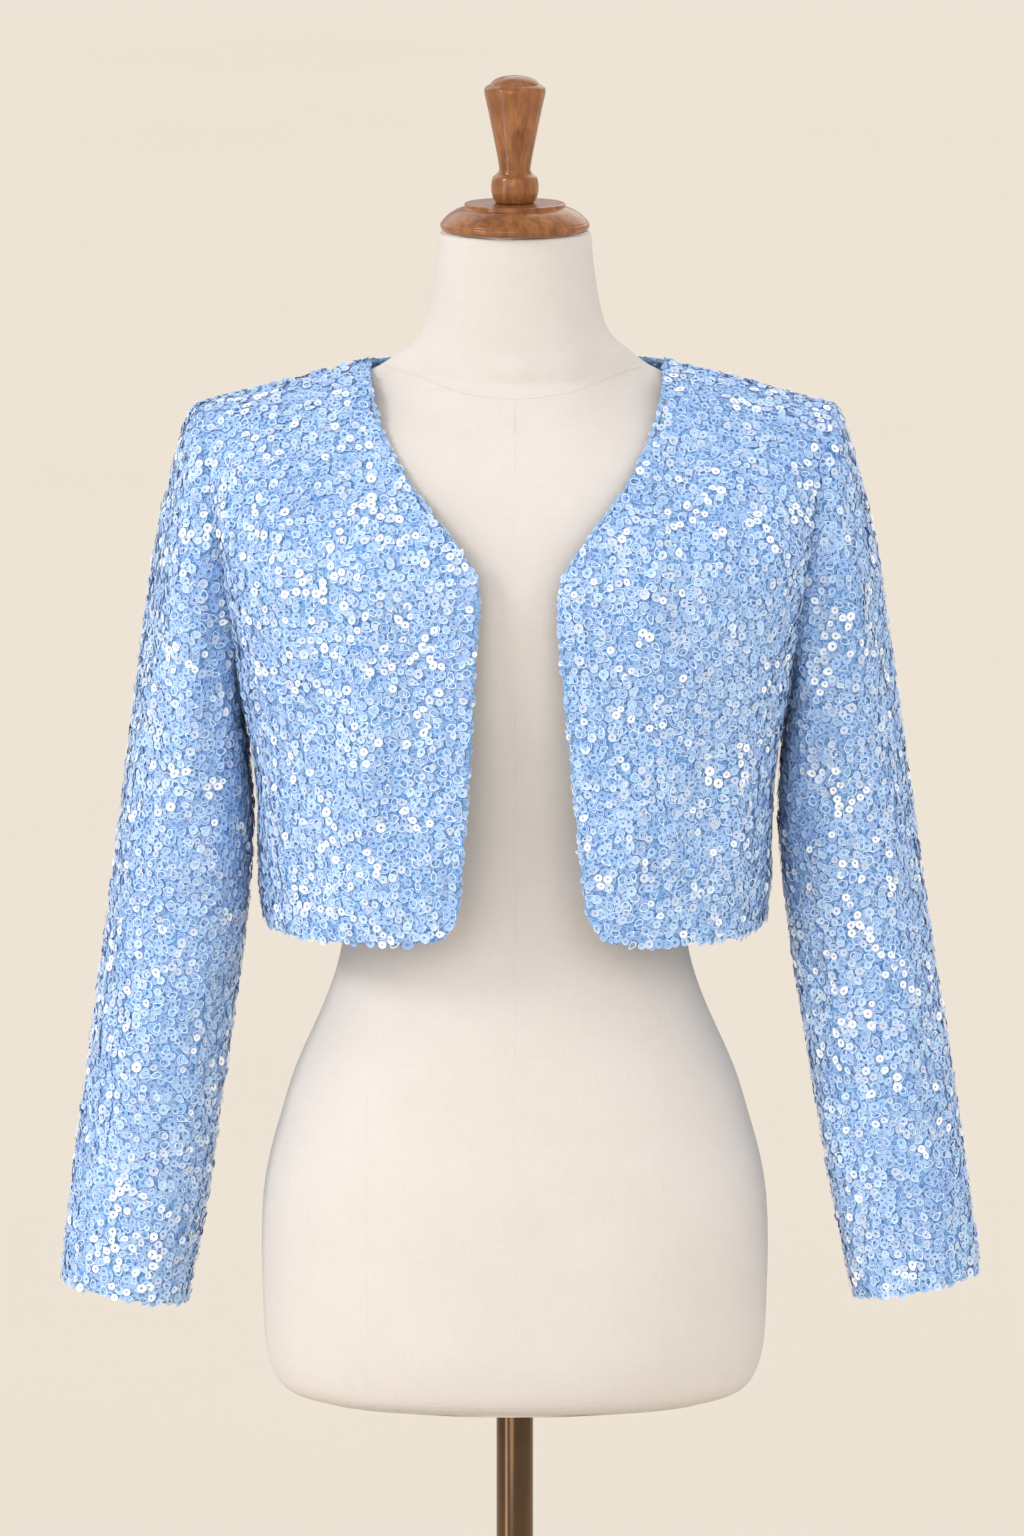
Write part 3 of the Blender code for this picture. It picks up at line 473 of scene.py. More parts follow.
# %% [markdown]
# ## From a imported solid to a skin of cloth
#
# Each packed cloth piece is a closed wall. The jacket that shows is made on
# its outer face: a copy is merged, the faces are followed across soft edges
# only, and the largest patch that this gives is the outer face. Its triangles
# are joined to quads again, and a smooth subdivision rounds them. Subdivision
# draws a form in a little, so its points are pushed out by as much first.

# %% Taking the outer skin of a wall
SOFT_EDGE = math.radians(48.0)
SAME_PLACE = 0.00002


def merged_copy(node):
    """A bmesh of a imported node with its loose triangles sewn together."""
    bm = bmesh.new()
    bm.from_mesh(frame["nodes"][node].data)
    bmesh.ops.remove_doubles(bm, verts=bm.verts, dist=SAME_PLACE)
    return bm


def outer_faces(bm):
    """The largest patch of faces that meet at soft edges."""
    todo = set(bm.faces)
    best, best_area = [], 0.0
    while todo:
        front = [todo.pop()]
        patch = list(front)
        while front:
            face = front.pop()
            for edge in face.edges:
                if len(edge.link_faces) != 2 or edge.calc_face_angle(0.0) > SOFT_EDGE:
                    continue
                for other in edge.link_faces:
                    if other in todo:
                        todo.discard(other)
                        patch.append(other)
                        front.append(other)
        area = sum(f.calc_area() for f in patch)
        if area > best_area:
            best, best_area = patch, area
    return best


def new_piece(name, bm, material):
    """Turns a bmesh into a smooth-shaded object at the origin."""
    mesh = bpy.data.meshes.new(name)
    bm.to_mesh(mesh)
    bm.free()
    piece = bpy.data.objects.new(name, mesh)
    bpy.context.scene.collection.objects.link(piece)
    mesh.materials.append(material)
    for polygon in mesh.polygons:
        polygon.use_smooth = True
    return piece


def apply_modifiers(piece):
    """Bakes the piece's modifiers into its mesh."""
    graph = bpy.context.evaluated_depsgraph_get()
    mesh = bpy.data.meshes.new_from_object(piece.evaluated_get(graph))
    piece.modifiers.clear()
    piece.data = mesh


def smooth_through(piece, levels, rounds=3):
    """Subdivides, with the points pushed out first, so that the smooth form still passes through them."""
    wanted = [vert.co.copy() for vert in piece.data.vertices]
    rounded = piece.modifiers.new("rounded", "SUBSURF")
    rounded.levels = rounded.render_levels = levels
    for _ in range(rounds):
        smooth = piece.evaluated_get(bpy.context.evaluated_depsgraph_get()).data.vertices
        gaps = [place - smooth[index].co for index, place in enumerate(wanted)]
        for vert, gap in zip(piece.data.vertices, gaps):
            vert.co += gap
        piece.data.update()
        bpy.context.view_layer.update()
    apply_modifiers(piece)
    furthest = max((piece.data.vertices[i].co - place).length for i, place in enumerate(wanted))
    print(piece.name, "passes its points within", round(furthest * 1000, 2), "mm")


def cloth_skin(node):
    """The outer face of a cloth node as a smooth quad sheet."""
    bm = merged_copy(node)
    keep = set(outer_faces(bm))
    bmesh.ops.delete(bm, geom=[f for f in bm.faces if f not in keep], context="FACES")
    bmesh.ops.join_triangles(bm, faces=bm.faces, angle_face_threshold=math.radians(40.0),
                             angle_shape_threshold=math.radians(50.0))
    skin = new_piece(node + "_cloth", bm, net)
    smooth_through(skin, 2)
    return skin


# %% [markdown]
# ## Creases listed one by one
#
# Cloth on a form hangs in a few soft troughs and ridges, deeper near the
# armholes and fading to nothing. Each row of the tables below is one of them:
# its two ends as seen from the front or back, its width, and how far it goes
# in or out. No two have the same length, depth or distance.

# %% Pressing creases into a sheet
def on_surface(tree_of_faces, x, z, from_front):
    """The point of the sheet at x and z, looked for from the front or the back."""
    start = Vector((x, -1.0 if from_front else 1.0, z))
    hit = tree_of_faces.ray_cast(start, Vector((0.0, 1.0 if from_front else -1.0, 0.0)))[0]
    return hit or tree_of_faces.find_nearest(Vector((x, -0.1 if from_front else 0.1, z)))[0]


def press_creases(skin, creases):
    """Moves the sheet along its normals in soft troughs, below 0, and ridges, above 0."""
    bm = bmesh.new()
    bm.from_mesh(skin.data)
    bm.normal_update()
    faces = BVHTree.FromBMesh(bm)
    moves = {}
    for x0, z0, x1, z1, width, depth, from_front in creases:
        start = on_surface(faces, x0, z0, from_front)
        end = on_surface(faces, x1, z1, from_front)
        along = end - start
        for vert in bm.verts:
            share = (vert.co - start).dot(along) / along.length_squared
            if not 0.0 < share < 1.0:
                continue
            off = (vert.co - start - along * share).length
            if off > 3.0 * width:
                continue
            taper = math.sin(math.pi * share) ** 0.8
            press = depth * taper * math.exp(-((off / width) ** 2))
            moves[vert] = moves.get(vert, 0.0) + press
    for vert, distance in moves.items():
        if not any(edge.is_boundary for edge in vert.link_edges):
            vert.co += vert.normal * distance
    bm.to_mesh(skin.data)
    bm.free()
    return len(creases)


# The columns are x0, z0, x1, z1, width, depth, and True on the front or False on the back.
RIGHT_FRONT_CREASES = (
    (-0.150, 1.352, -0.133, 1.262, 0.010, -0.0026, True),
    (-0.112, 1.322, -0.086, 1.245, 0.011, 0.0029, True),
    (-0.078, 1.268, -0.062, 1.215, 0.009, -0.0016, True),
    (-0.104, 1.196, -0.095, 1.105, 0.012, 0.0032, True),
    (-0.132, 1.160, -0.126, 1.062, 0.010, -0.0018, True),
    (-0.060, 1.130, -0.052, 1.062, 0.010, 0.0022, True),
)
LEFT_FRONT_CREASES = (
    (0.124, 1.380, 0.112, 1.292, 0.011, -0.0026, True),
    (0.104, 1.330, 0.090, 1.242, 0.012, 0.0029, True),
    (0.158, 1.330, 0.146, 1.250, 0.009, -0.0018, True),
    (0.139, 1.180, 0.132, 1.085, 0.010, -0.0022, True),
    (0.152, 1.125, 0.149, 1.050, 0.009, 0.0032, True),
    (0.078, 1.150, 0.086, 1.058, 0.011, 0.0024, True),
)
BACK_CREASES = (
    (-0.140, 1.330, -0.122, 1.240, 0.011, -0.0024, False),
    (-0.095, 1.300, -0.080, 1.190, 0.012, 0.0029, False),
    (0.022, 1.260, 0.015, 1.120, 0.013, -0.0018, False),
    (0.075, 1.180, 0.082, 1.070, 0.012, 0.0029, False),
    (0.146, 1.320, 0.130, 1.225, 0.010, -0.0024, False),
    (-0.048, 1.150, -0.052, 1.060, 0.012, -0.0015, False),
)
RIGHT_SLEEVE_CREASES = (
    (-0.196, 1.330, -0.206, 1.190, 0.010, -0.0026, True),
    (-0.226, 1.300, -0.232, 1.215, 0.011, 0.0026, True),
    (-0.206, 1.120, -0.240, 1.075, 0.010, -0.0022, True),
    (-0.214, 1.060, -0.252, 1.022, 0.009, -0.0018, True),
    (-0.262, 0.990, -0.270, 0.900, 0.011, 0.0026, True),
    (-0.236, 0.930, -0.244, 0.830, 0.010, -0.0018, True),
    (-0.205, 1.300, -0.214, 1.180, 0.011, -0.0026, False),
    (-0.238, 1.120, -0.214, 1.070, 0.010, -0.0020, False),
    (-0.258, 1.010, -0.264, 0.900, 0.011, 0.0029, False),
)
LEFT_SLEEVE_CREASES = (
    (0.206, 1.340, 0.214, 1.200, 0.010, -0.0030, True),
    (0.230, 1.290, 0.236, 1.200, 0.011, 0.0029, True),
    (0.212, 1.130, 0.246, 1.090, 0.010, -0.0022, True),
    (0.222, 1.050, 0.262, 1.005, 0.010, -0.0020, True),
    (0.270, 0.970, 0.280, 0.880, 0.011, 0.0029, True),
    (0.246, 0.900, 0.258, 0.810, 0.010, -0.0016, True),
    (0.210, 1.310, 0.218, 1.170, 0.011, -0.0026, False),
    (0.246, 1.100, 0.220, 1.045, 0.010, -0.0020, False),
    (0.262, 1.000, 0.272, 0.890, 0.011, 0.0029, False),
)

# %% Making the five skins
CREASES = {
    "right_front": RIGHT_FRONT_CREASES, "left_front": LEFT_FRONT_CREASES, "back": BACK_CREASES,
    "right_sleeve": RIGHT_SLEEVE_CREASES, "left_sleeve": LEFT_SLEEVE_CREASES,
}
skins = {}
for node, table in CREASES.items():
    skins[node] = cloth_skin(node)
    pressed = press_creases(skins[node], table)
    area = sum(p.area for p in skins[node].data.polygons)
    print(node, "skin:", len(skins[node].data.polygons), "faces,", round(area, 4), "m2,", pressed,
          "creases")

# %% [markdown]
# ## The turned edges
#
# Down both fronts and round the neck the cloth is turned under and shows as a
# narrow band. A copy of each packed strip gets rounded corners with a
# bevel and a subdivision, as a folded edge has.

# %% The edge bands
def edge_band(node):
    bm = merged_copy(node)
    bmesh.ops.join_triangles(bm, faces=bm.faces, angle_face_threshold=math.radians(35.0),
                             angle_shape_threshold=math.radians(60.0))
    band = new_piece(node + "_band", bm, net)
    eased = band.modifiers.new("eased", "BEVEL")
    eased.width = 0.0007
    eased.segments = 2
    eased.limit_method = "ANGLE"
    eased.angle_limit = math.radians(50.0)
    rounded = band.modifiers.new("rounded", "SUBSURF")
    rounded.levels = rounded.render_levels = 1
    apply_modifiers(band)
    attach(band, BODY)
    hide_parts(node)
    return band


bands = {node: edge_band(node) for node in ("right_front_edge", "left_front_edge", "back_neck_edge")}
print("edge bands:", {n: len(b.data.polygons) for n, b in bands.items()})

# %% [markdown]
# ## The sequins and loops as small meshes
#
# Thousands of copies are sewn on, so each shape has only a few dozen faces: a
# round sequin with a hole and a slight cup, a larger teardrop petal, and a
# flat loop of thread. The maps on them go from the middle to the rim, for the
# finish. The shapes only lend their meshes, and go once all is sewn.

# %% One round sequin, one petal, one loop
def flat_map(bm, reach):
    """A map that puts the shape's middle at 0.5, 0.5 and its rim 0.5 away."""
    layer = bm.loops.layers.uv.new("disc")
    for face in bm.faces:
        for loop in face.loops:
            x, y = loop.vert.co.x, loop.vert.co.y
            loop[layer].uv = (0.5 + 0.5 * x / reach, 0.5 + 0.5 * y / reach)


def ring_shape(name, size, hole, sides, cup, material, stretch=1.0):
    """A ring of quads from the rim in to the hole, cupped, and drawn out to a petal by stretch."""
    bm = bmesh.new()
    rim = bmesh.ops.create_circle(bm, segments=sides, radius=size / 2)["verts"]
    inner = bmesh.ops.extrude_edge_only(bm, edges=bm.edges[:])["geom"]
    inner = [v for v in inner if isinstance(v, bmesh.types.BMVert)]
    for vert in inner:
        vert.co *= hole / size
        vert.co.z -= cup
    flat_map(bm, size / 2)
    for vert in bm.verts:
        if vert.co.y > 0.0:
            pull = vert.co.y / (size / 2)
            vert.co.y *= stretch
            vert.co.x *= 1.0 - (1.0 - 1.0 / stretch) * 0.9 * pull * pull
    bmesh.ops.recalc_face_normals(bm, faces=bm.faces)
    if sum(f.normal.z for f in bm.faces) < 0.0:
        bmesh.ops.reverse_faces(bm, faces=bm.faces)
    return new_piece(name, bm, material)


large_sequin = ring_shape("shape_large_sequin", 0.0066, 0.0014, 10, 0.00030, film)
small_sequin = ring_shape("shape_small_sequin", 0.0057, 0.0013, 10, 0.00035, film)
long_petal = ring_shape("shape_long_petal", 0.0062, 0.0012, 8, 0.00025, petal_film, stretch=1.8)
short_petal = ring_shape("shape_short_petal", 0.0068, 0.0012, 8, 0.00030, petal_film, stretch=1.3)
wide_loop = ring_shape("shape_wide_loop", 0.0060, 0.0046, 10, 0.00005, loop_thread, stretch=1.5)
slim_loop = ring_shape("shape_slim_loop", 0.0046, 0.0032, 10, 0.00005, loop_thread, stretch=2.4)
top_petal = ring_shape("shape_top_petal", 0.0056, 0.0012, 10, 0.00030, film, stretch=1.6)
shapes = (large_sequin, small_sequin, long_petal, short_petal, wide_loop, slim_loop, top_petal)
print("faces:", {s.name: len(s.data.polygons) for s in shapes})

# %% [markdown]
# ## Scattering them with Geometry Nodes
#
# Sewn sequins lie close but in no rows. Geometry Nodes can scatter points
# that keep a least distance, put a shape on each, turn it to the cloth, tilt
# and spin it at random, and give it a tone. White ones, painted glints, come in
# small upright clusters placed by noise. A slower noise lightens the other
# tones in broad patches, as painted light and shade of soft folds. The last
# nodes turn the copies into one real mesh and lay each disc on its own square
# of a bake map.

# %% The scattering graph
CROWD_SCALE = 75.0        # noise that thins the crowd of sequins, per metre
GLINT_CLUSTER_SCALE = 46.0      # noise that places the clusters of white painted glints, per metre
GLINT_CLUSTER_LEVEL = 0.575     # how high that noise is inside a glint cluster
STRAY_GLINT_SHARE = 0.07        # painted glints outside clusters, as a share of those inside
FOLD_SHADE_SCALE = 16.0        # slow noise that lifts the tone in patches, painted light and shade of soft folds, per metre
# How far the painted fold shade lifts the tone.
FOLD_SHADE_REACH = 0.20
TONE_RANGE = (-0.05, 0.75)
SIZE_RANGE = (0.80, 1.10)
BAND_LIFT = 0.2           # on the edge bands the lift and size are this much less
BAND_SIZE = 0.68


def random_node(tree, ends, seed):
    """A number of its own for each point, between two ends."""
    return add_node(tree, "FunctionNodeRandomValue", {2: ends[0], 3: ends[1], "Seed": seed})


def store_node(tree, geometry, name, value, data_type, domain):
    """Keeps a value under a name on the geometry that another node puts out."""
    return add_node(tree, "GeometryNodeStoreNamedAttribute",
                    {"Geometry": geometry.outputs[0], "Name": name, "Value": value.outputs[0]},
                    data_type=data_type, domain=domain)


def chance_node(tree, share, seed):
    """True for this share of the points."""
    return add_node(tree, "FunctionNodeRandomValue", {"Probability": share, "Seed": seed},
                    data_type="BOOLEAN")


def scatter_graph(name, shapes, spacing, seed, tilt, lift, glint_share, patchy, map_side):
    """glint_share is the share of white painted glints in a cluster, and patchy is how dense the thinnest
    places stay.
    """
    tree = bpy.data.node_groups.new(name, "GeometryNodeTree")
    tree.interface.new_socket("Geometry", in_out="INPUT", socket_type="NodeSocketGeometry")
    tree.interface.new_socket("Geometry", in_out="OUTPUT", socket_type="NodeSocketGeometry")
    source = tree.nodes.new("NodeGroupInput").outputs["Geometry"]
    result = tree.nodes.new("NodeGroupOutput").inputs["Geometry"]
    place = add_node(tree, "GeometryNodeInputPosition")
    crowd = noise_node(tree, place.outputs[0], CROWD_SCALE, Detail=1.0)
    factor = range_node(tree, crowd.outputs[0], (0.42, 0.56), (patchy, 1.0))
    points = add_node(tree, "GeometryNodeDistributePointsOnFaces",
                      {"Mesh": source, "Distance Min": spacing, "Density Max": 5.0 / spacing ** 2,
                       "Density Factor": factor.outputs[0], "Seed": seed}, distribute_method="POISSON")
    height = random_node(tree, lift, seed + 1)
    on_band = add_node(tree, "GeometryNodeInputNamedAttribute", {"Name": "on_band"}, data_type="FLOAT")
    lower = range_node(tree, on_band.outputs[0], (0.0, 1.0), (1.0, BAND_LIFT))
    smaller = range_node(tree, on_band.outputs[0], (0.0, 1.0), (1.0, BAND_SIZE))
    kept_low = math_node(tree, "MULTIPLY", height.outputs[1], lower.outputs[0])
    outwards = add_node(tree, "ShaderNodeVectorMath",
                        {0: points.outputs["Normal"], "Scale": kept_low.outputs[0]}, operation="SCALE")
    raised = add_node(tree, "GeometryNodeSetPosition",
                      {"Geometry": points.outputs["Points"], "Offset": outwards.outputs[0]})
    lean = math.radians(tilt)
    turn = add_node(tree, "FunctionNodeRandomValue",
                    {0: (-lean, -lean, 0.0), 1: (lean, lean, 2.0 * math.pi), "Seed": seed + 2},
                    data_type="FLOAT_VECTOR")
    spun = add_node(tree, "FunctionNodeEulerToRotation", {0: turn.outputs[0]})
    rotation = add_node(tree, "FunctionNodeRotateRotation",
                        {"Rotation": points.outputs["Rotation"], "Rotate By": spun.outputs[0]},
                        rotation_space="LOCAL")
    own_size = random_node(tree, SIZE_RANGE, seed + 3)
    size = math_node(tree, "MULTIPLY", own_size.outputs[1], smaller.outputs[0])
    bag = add_node(tree, "GeometryNodeJoinGeometry")
    total = 0
    for shape, count in shapes:
        info = add_node(tree, "GeometryNodeObjectInfo", {"Object": shape, "As Instance": True})
        for _ in range(count):
            tree.links.new(info.outputs["Geometry"], bag.inputs[0])
            total += 1
    copies = add_node(tree, "GeometryNodeInstanceOnPoints",
                      {"Points": raised.outputs[0], "Instance": bag.outputs[0], "Pick Instance": True,
                       "Rotation": rotation.outputs[0], "Scale": size.outputs[0]})
    pick = add_node(tree, "FunctionNodeRandomValue", {4: 0, 5: total - 1, "Seed": seed + 4},
                    data_type="INT")
    tree.links.new(pick.outputs[2], copies.inputs["Instance Index"])
    # A tone of 1.0 makes a sequin white. It is a painted glint, placed in clusters by noise.
    upright = vector_node(tree, "MULTIPLY", place.outputs[0], (1.0, 1.0, 0.5))
    glint_cluster = noise_node(tree, upright.outputs[0], GLINT_CLUSTER_SCALE, Detail=2.0)
    in_glint_cluster = add_node(tree, "FunctionNodeCompare", {0: glint_cluster.outputs[0], 1: GLINT_CLUSTER_LEVEL},
                          operation="GREATER_THAN")
    luck = chance_node(tree, glint_share, seed + 5)
    stray = chance_node(tree, glint_share * STRAY_GLINT_SHARE, seed + 6)
    both = add_node(tree, "FunctionNodeBooleanMath", {0: in_glint_cluster.outputs[0], 1: luck.outputs[3]},
                    operation="AND")
    glint = add_node(tree, "FunctionNodeBooleanMath", {0: both.outputs[0], 1: stray.outputs[3]},
                     operation="OR")
    # Each disc's own random tone is partly the film's own colour and partly painted shade and reflection.
    own = random_node(tree, TONE_RANGE, seed + 7)
    # A slow noise lifts the tone in broad patches. This is painted light and shade of soft folds.
    fold_shade = noise_node(tree, upright.outputs[0], FOLD_SHADE_SCALE, Detail=1.0)
    fold_shade_tone = range_node(tree, fold_shade.outputs[0], (0.35, 0.65), (0.0, FOLD_SHADE_REACH))
    plain = math_node(tree, "ADD", own.outputs[1], fold_shade_tone.outputs[0])
    tone = add_node(tree, "GeometryNodeSwitch", {0: glint.outputs[0], 1: plain.outputs[0], 2: 1.0},
                    input_type="FLOAT")
    toned = store_node(tree, copies, "tone", tone, "FLOAT", "INSTANCE")
    number = add_node(tree, "GeometryNodeInputIndex")
    numbered = store_node(tree, toned, "square", number, "INT", "INSTANCE")
    real = add_node(tree, "GeometryNodeRealizeInstances", {"Geometry": numbered.outputs[0]})
    square = add_node(tree, "GeometryNodeInputNamedAttribute", {"Name": "square"}, data_type="FLOAT")
    disc = add_node(tree, "GeometryNodeInputNamedAttribute", {"Name": "disc"}, data_type="FLOAT_VECTOR")
    column = math_node(tree, "MODULO", square.outputs[0], float(map_side))
    row = math_node(tree, "DIVIDE", square.outputs[0], float(map_side))
    whole = math_node(tree, "FLOOR", row.outputs[0])
    corner = add_node(tree, "ShaderNodeCombineXYZ", {0: column.outputs[0], 1: whole.outputs[0]})
    inset = vector_node(tree, "MULTIPLY_ADD", disc.outputs[0], (0.8, 0.8, 0.0), (0.1, 0.1, 0.0))
    placed = vector_node(tree, "ADD", corner.outputs[0], inset.outputs[0])
    shrunk = add_node(tree, "ShaderNodeVectorMath", {0: placed.outputs[0], "Scale": 1.0 / map_side},
                      operation="SCALE")
    mapped = store_node(tree, real, "OFBake", shrunk, "FLOAT2", "CORNER")
    tree.links.new(mapped.outputs[0], result)
    return tree


# %% Sewing them on in three layers
def sewing_ground(node):
    """The skin of a cloth piece together with the outer side of the edge band beside it."""
    bm = bmesh.new()
    bm.from_mesh(skins[node].data)
    on_cloth = len(bm.verts)
    band = bands.get({"back": "back_neck_edge"}.get(node, node + "_edge"))
    if band:
        strip = bmesh.new()
        strip.from_mesh(band.data)
        strip.normal_update()
        hidden = []
        for face in strip.faces:
            middle = face.calc_center_median()
            outwards = Vector((middle.x, middle.y, 0.0)).normalized() + Vector((0.0, 0.0, 0.5))
            if face.normal.dot(outwards) < 0.0:
                hidden.append(face)
        bmesh.ops.delete(strip, geom=hidden, context="FACES")
        outer = bpy.data.meshes.new("band_outer")
        strip.to_mesh(outer)
        strip.free()
        bm.from_mesh(outer)
        bpy.data.meshes.remove(outer)
    mark = bm.verts.layers.float.new("on_band")
    for count, vert in enumerate(bm.verts):
        vert[mark] = 1.0 if count >= on_cloth else 0.0
    ground = bpy.data.meshes.new(node + "_ground")
    bm.to_mesh(ground)
    bm.free()
    return ground


def sew_on(node, layer, shapes, material, seed, spacing, tilt, lift, glint_share, patchy, map_side):
    """Scatters the shapes over a skin and keeps the result as one mesh."""
    name = node + "_" + layer
    piece = bpy.data.objects.new(name, sewing_ground(node))
    bpy.context.scene.collection.objects.link(piece)
    scatter = piece.modifiers.new("scatter", "NODES")
    scatter.node_group = scatter_graph(name + "_graph", shapes, spacing, seed, tilt, lift, glint_share, patchy,
                                       map_side)
    apply_modifiers(piece)
    piece.data.materials.clear()
    piece.data.materials.append(material)
    piece.data.update()
    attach(piece, BODY)
    return piece


# The columns are the layer, its shapes and how many of each, the finish, the spacing, the tilt in degrees,
# the least and most lift, the share of white painted glints, the patchiness and the side of the bake map in
# squares.
LAYERS = (
    ("petals", [(long_petal, 4), (short_petal, 4)], petal_film, 0.0047, 11.0, (0.0003, 0.0009), 0.0, 1.0,
     80),
    ("sequins", [(large_sequin, 4), (small_sequin, 3), (top_petal, 2)], film, 0.0052, 14.0,
     (0.0011, 0.0021), 0.62, 0.10, 80),
    ("loops", [(wide_loop, 3), (slim_loop, 3)], loop_thread, 0.0072, 10.0, (0.0012, 0.0022), 0.0, 1.0, 56),
)
sewn = {}
for number, node in enumerate(CREASES):
    sewn[node] = []
    for step, (layer, kinds, finish, spacing, tilt, lift, glint_share, patchy, side) in enumerate(LAYERS):
        seed = 100 * number + 30 * step + 7
        piece = sew_on(node, layer, kinds, finish, seed, spacing, tilt, lift, glint_share, patchy, side)
        sewn[node].append(piece)
    print(node, {p.name: len(p.data.polygons) for p in sewn[node]})
for shape in shapes:
    bpy.data.objects.remove(shape)

# %% [markdown]
# ## Giving the cloth its thickness
#
# A skin has no thickness, so Solidify adds the wall inwards, almost as thick as
# the imported piece, and closes it at the hem and seams.

# %% The five shells
WALL = 0.0019
for node, skin in skins.items():
    wall = skin.modifiers.new("wall", "SOLIDIFY")
    wall.thickness = WALL
    wall.offset = -1.0
    apply_modifiers(skin)
    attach(skin, BODY)
    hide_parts(node)
    print(node, "shell:", len(skin.data.polygons), "faces")

# %% [markdown]
# ## The linen of the dress form
#
# The form is covered with fine natural linen, a plain weave with slightly
# uneven threads. Its map runs round the body and up it, so the threads stay
# level and upright all the way round.

# %% The linen finish
def linen_material(name, light, dark):
    material, tree, shader = new_material(name, Roughness=0.85, Specular_IOR_Level=0.12)
    round_map = add_node(tree, "ShaderNodeUVMap", uv_map="round_body")
    coordinates = add_node(tree, "ShaderNodeTexCoord")
    threads = use_group(tree, weave, {"Vector": round_map.outputs["UV"], "Threads per metre": 1000.0,
                                      "Slub": 1.6})
    tones = use_group(tree, mottle, {"Vector": coordinates.outputs["Object"], "Scale": 9.0,
                                     "Light": (*light, 1.0), "Dark": (*dark, 1.0)})
    streaks = []
    for stretch in ((640.0, 50.0, 1.0), (50.0, 640.0, 1.0)):
        drawn = add_node(tree, "ShaderNodeMapping", {"Vector": round_map.outputs["UV"], "Scale": stretch})
        slubs = noise_node(tree, drawn.outputs[0], 1.0, Detail=3.0)
        streaks.append(range_node(tree, slubs.outputs["Fac"], (0.3, 0.7), (0.985, 1.01)))
    grain = math_node(tree, "MULTIPLY", streaks[0].outputs[0], streaks[1].outputs[0])
    depth = range_node(tree, threads.outputs["Gaps"], (0.0, 1.0), (0.97, 1.01))
    shade = math_node(tree, "MULTIPLY", grain.outputs[0], depth.outputs[0])
    tinted = mix_colours(tree, 1.0, tones.outputs["Color"], shade.outputs[0], "MULTIPLY")
    tree.links.new(tinted.outputs[2], shader.inputs["Base Color"])
    add_bump(tree, shader, threads.outputs["Height"], 0.35, 0.0004)
    return material


linen = linen_material("natural_linen", (0.702, 0.650, 0.610), (0.670, 0.615, 0.570))
seam_linen = linen_material("seam_linen", (0.655, 0.600, 0.557), (0.620, 0.562, 0.518))

# %% The form
BODY_RADIUS = 0.14


def body_map(bm):
    """A map in metres that runs round the body and up it."""
    layer = bm.loops.layers.uv.new("round_body")
    for face in bm.faces:
        middle = face.calc_center_median()
        side = math.atan2(middle.x, -middle.y)
        for loop in face.loops:
            place = loop.vert.co
            angle = math.atan2(place.x, -place.y)
            while angle - side > math.pi:
                angle -= 2.0 * math.pi
            while angle - side < -math.pi:
                angle += 2.0 * math.pi
            loop[layer].uv = (angle * BODY_RADIUS, place.z)


form_bm = merged_copy("torso")
bmesh.ops.join_triangles(form_bm, faces=form_bm.faces, angle_face_threshold=math.radians(40.0),
                         angle_shape_threshold=math.radians(60.0))
form = new_piece("linen_form", form_bm, linen)
smooth_through(form, 2)
mapped_bm = bmesh.new()
mapped_bm.from_mesh(form.data)
body_map(mapped_bm)
mapped_bm.to_mesh(form.data)
form_faces = BVHTree.FromBMesh(mapped_bm)
mapped_bm.free()
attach(form, BODY)
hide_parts("torso")
print("form faces:", len(form.data.polygons))

# %% [markdown]
# ## The seams of the form
#
# The cover is sewn from panels: a seam down the middle of the front and back,
# two upright ones down the hips in front and behind, one round the foot of the
# neck, and a turned edge at the bottom. Each is a fine cord of its own that
# follows the surface and hardly stands proud of it.

# %% The seams
SEAM_RADIUS = 0.0004
SEAM_PROUD = 0.00015
FAR_OUT = 0.6


def surface_point(angle, z):
    """The point of the form at this height, looked for from outside at this angle."""
    outside = Vector((math.sin(angle), -math.cos(angle), 0.0))
    middle = Vector((0.0, 0.0, z))
    hit = form_faces.ray_cast(middle + outside * FAR_OUT, -outside)[0]
    return hit + outside * (SEAM_PROUD - SEAM_RADIUS)


def seam_piece(name, points, closed=False):
    """A thin cord through the points, as a mesh. The rings are a little darker than the linen."""
    curve = bpy.data.curves.new(name, "CURVE")
    curve.dimensions = "3D"
    curve.bevel_depth = SEAM_RADIUS
    curve.bevel_resolution = 2
    curve.use_fill_caps = True
    line = curve.splines.new("POLY")
    line.points.add(len(points) - 1)
    for spot, place in zip(line.points, points):
        spot.co = (*place, 1.0)
    line.use_cyclic_u = closed
    rough = bpy.data.objects.new(name + "_curve", curve)
    bpy.context.scene.collection.objects.link(rough)
    graph = bpy.context.evaluated_depsgraph_get()
    mesh = bpy.data.meshes.new_from_object(rough.evaluated_get(graph))
    bpy.data.objects.remove(rough)
    bm = bmesh.new()
    bm.from_mesh(mesh)
    body_map(bm)
    piece = new_piece(name, bm, seam_linen if closed else linen)
    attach(piece, BODY)
    return piece


def upright_seam(name, side, x, z_low, z_high, steps=60):
    """A seam that goes straight up at x, on the front where side is -1 or the back where it is 1."""
    outside = Vector((0.0, side, 0.0))
    points = []
    for k in range(steps + 1):
        start = Vector((x, FAR_OUT * side, z_low + (z_high - z_low) * k / steps))
        hit = form_faces.ray_cast(start, -outside)[0]
        points.append(hit + outside * (SEAM_PROUD - SEAM_RADIUS))
    return seam_piece(name, points)


def level_seam(name, z_front, z_back, steps=96):
    points = []
    for k in range(steps):
        angle = 2.0 * math.pi * k / steps
        share = 0.5 - 0.5 * math.cos(angle)
        points.append(surface_point(angle, z_front + (z_back - z_front) * share))
    return seam_piece(name, points, closed=True)


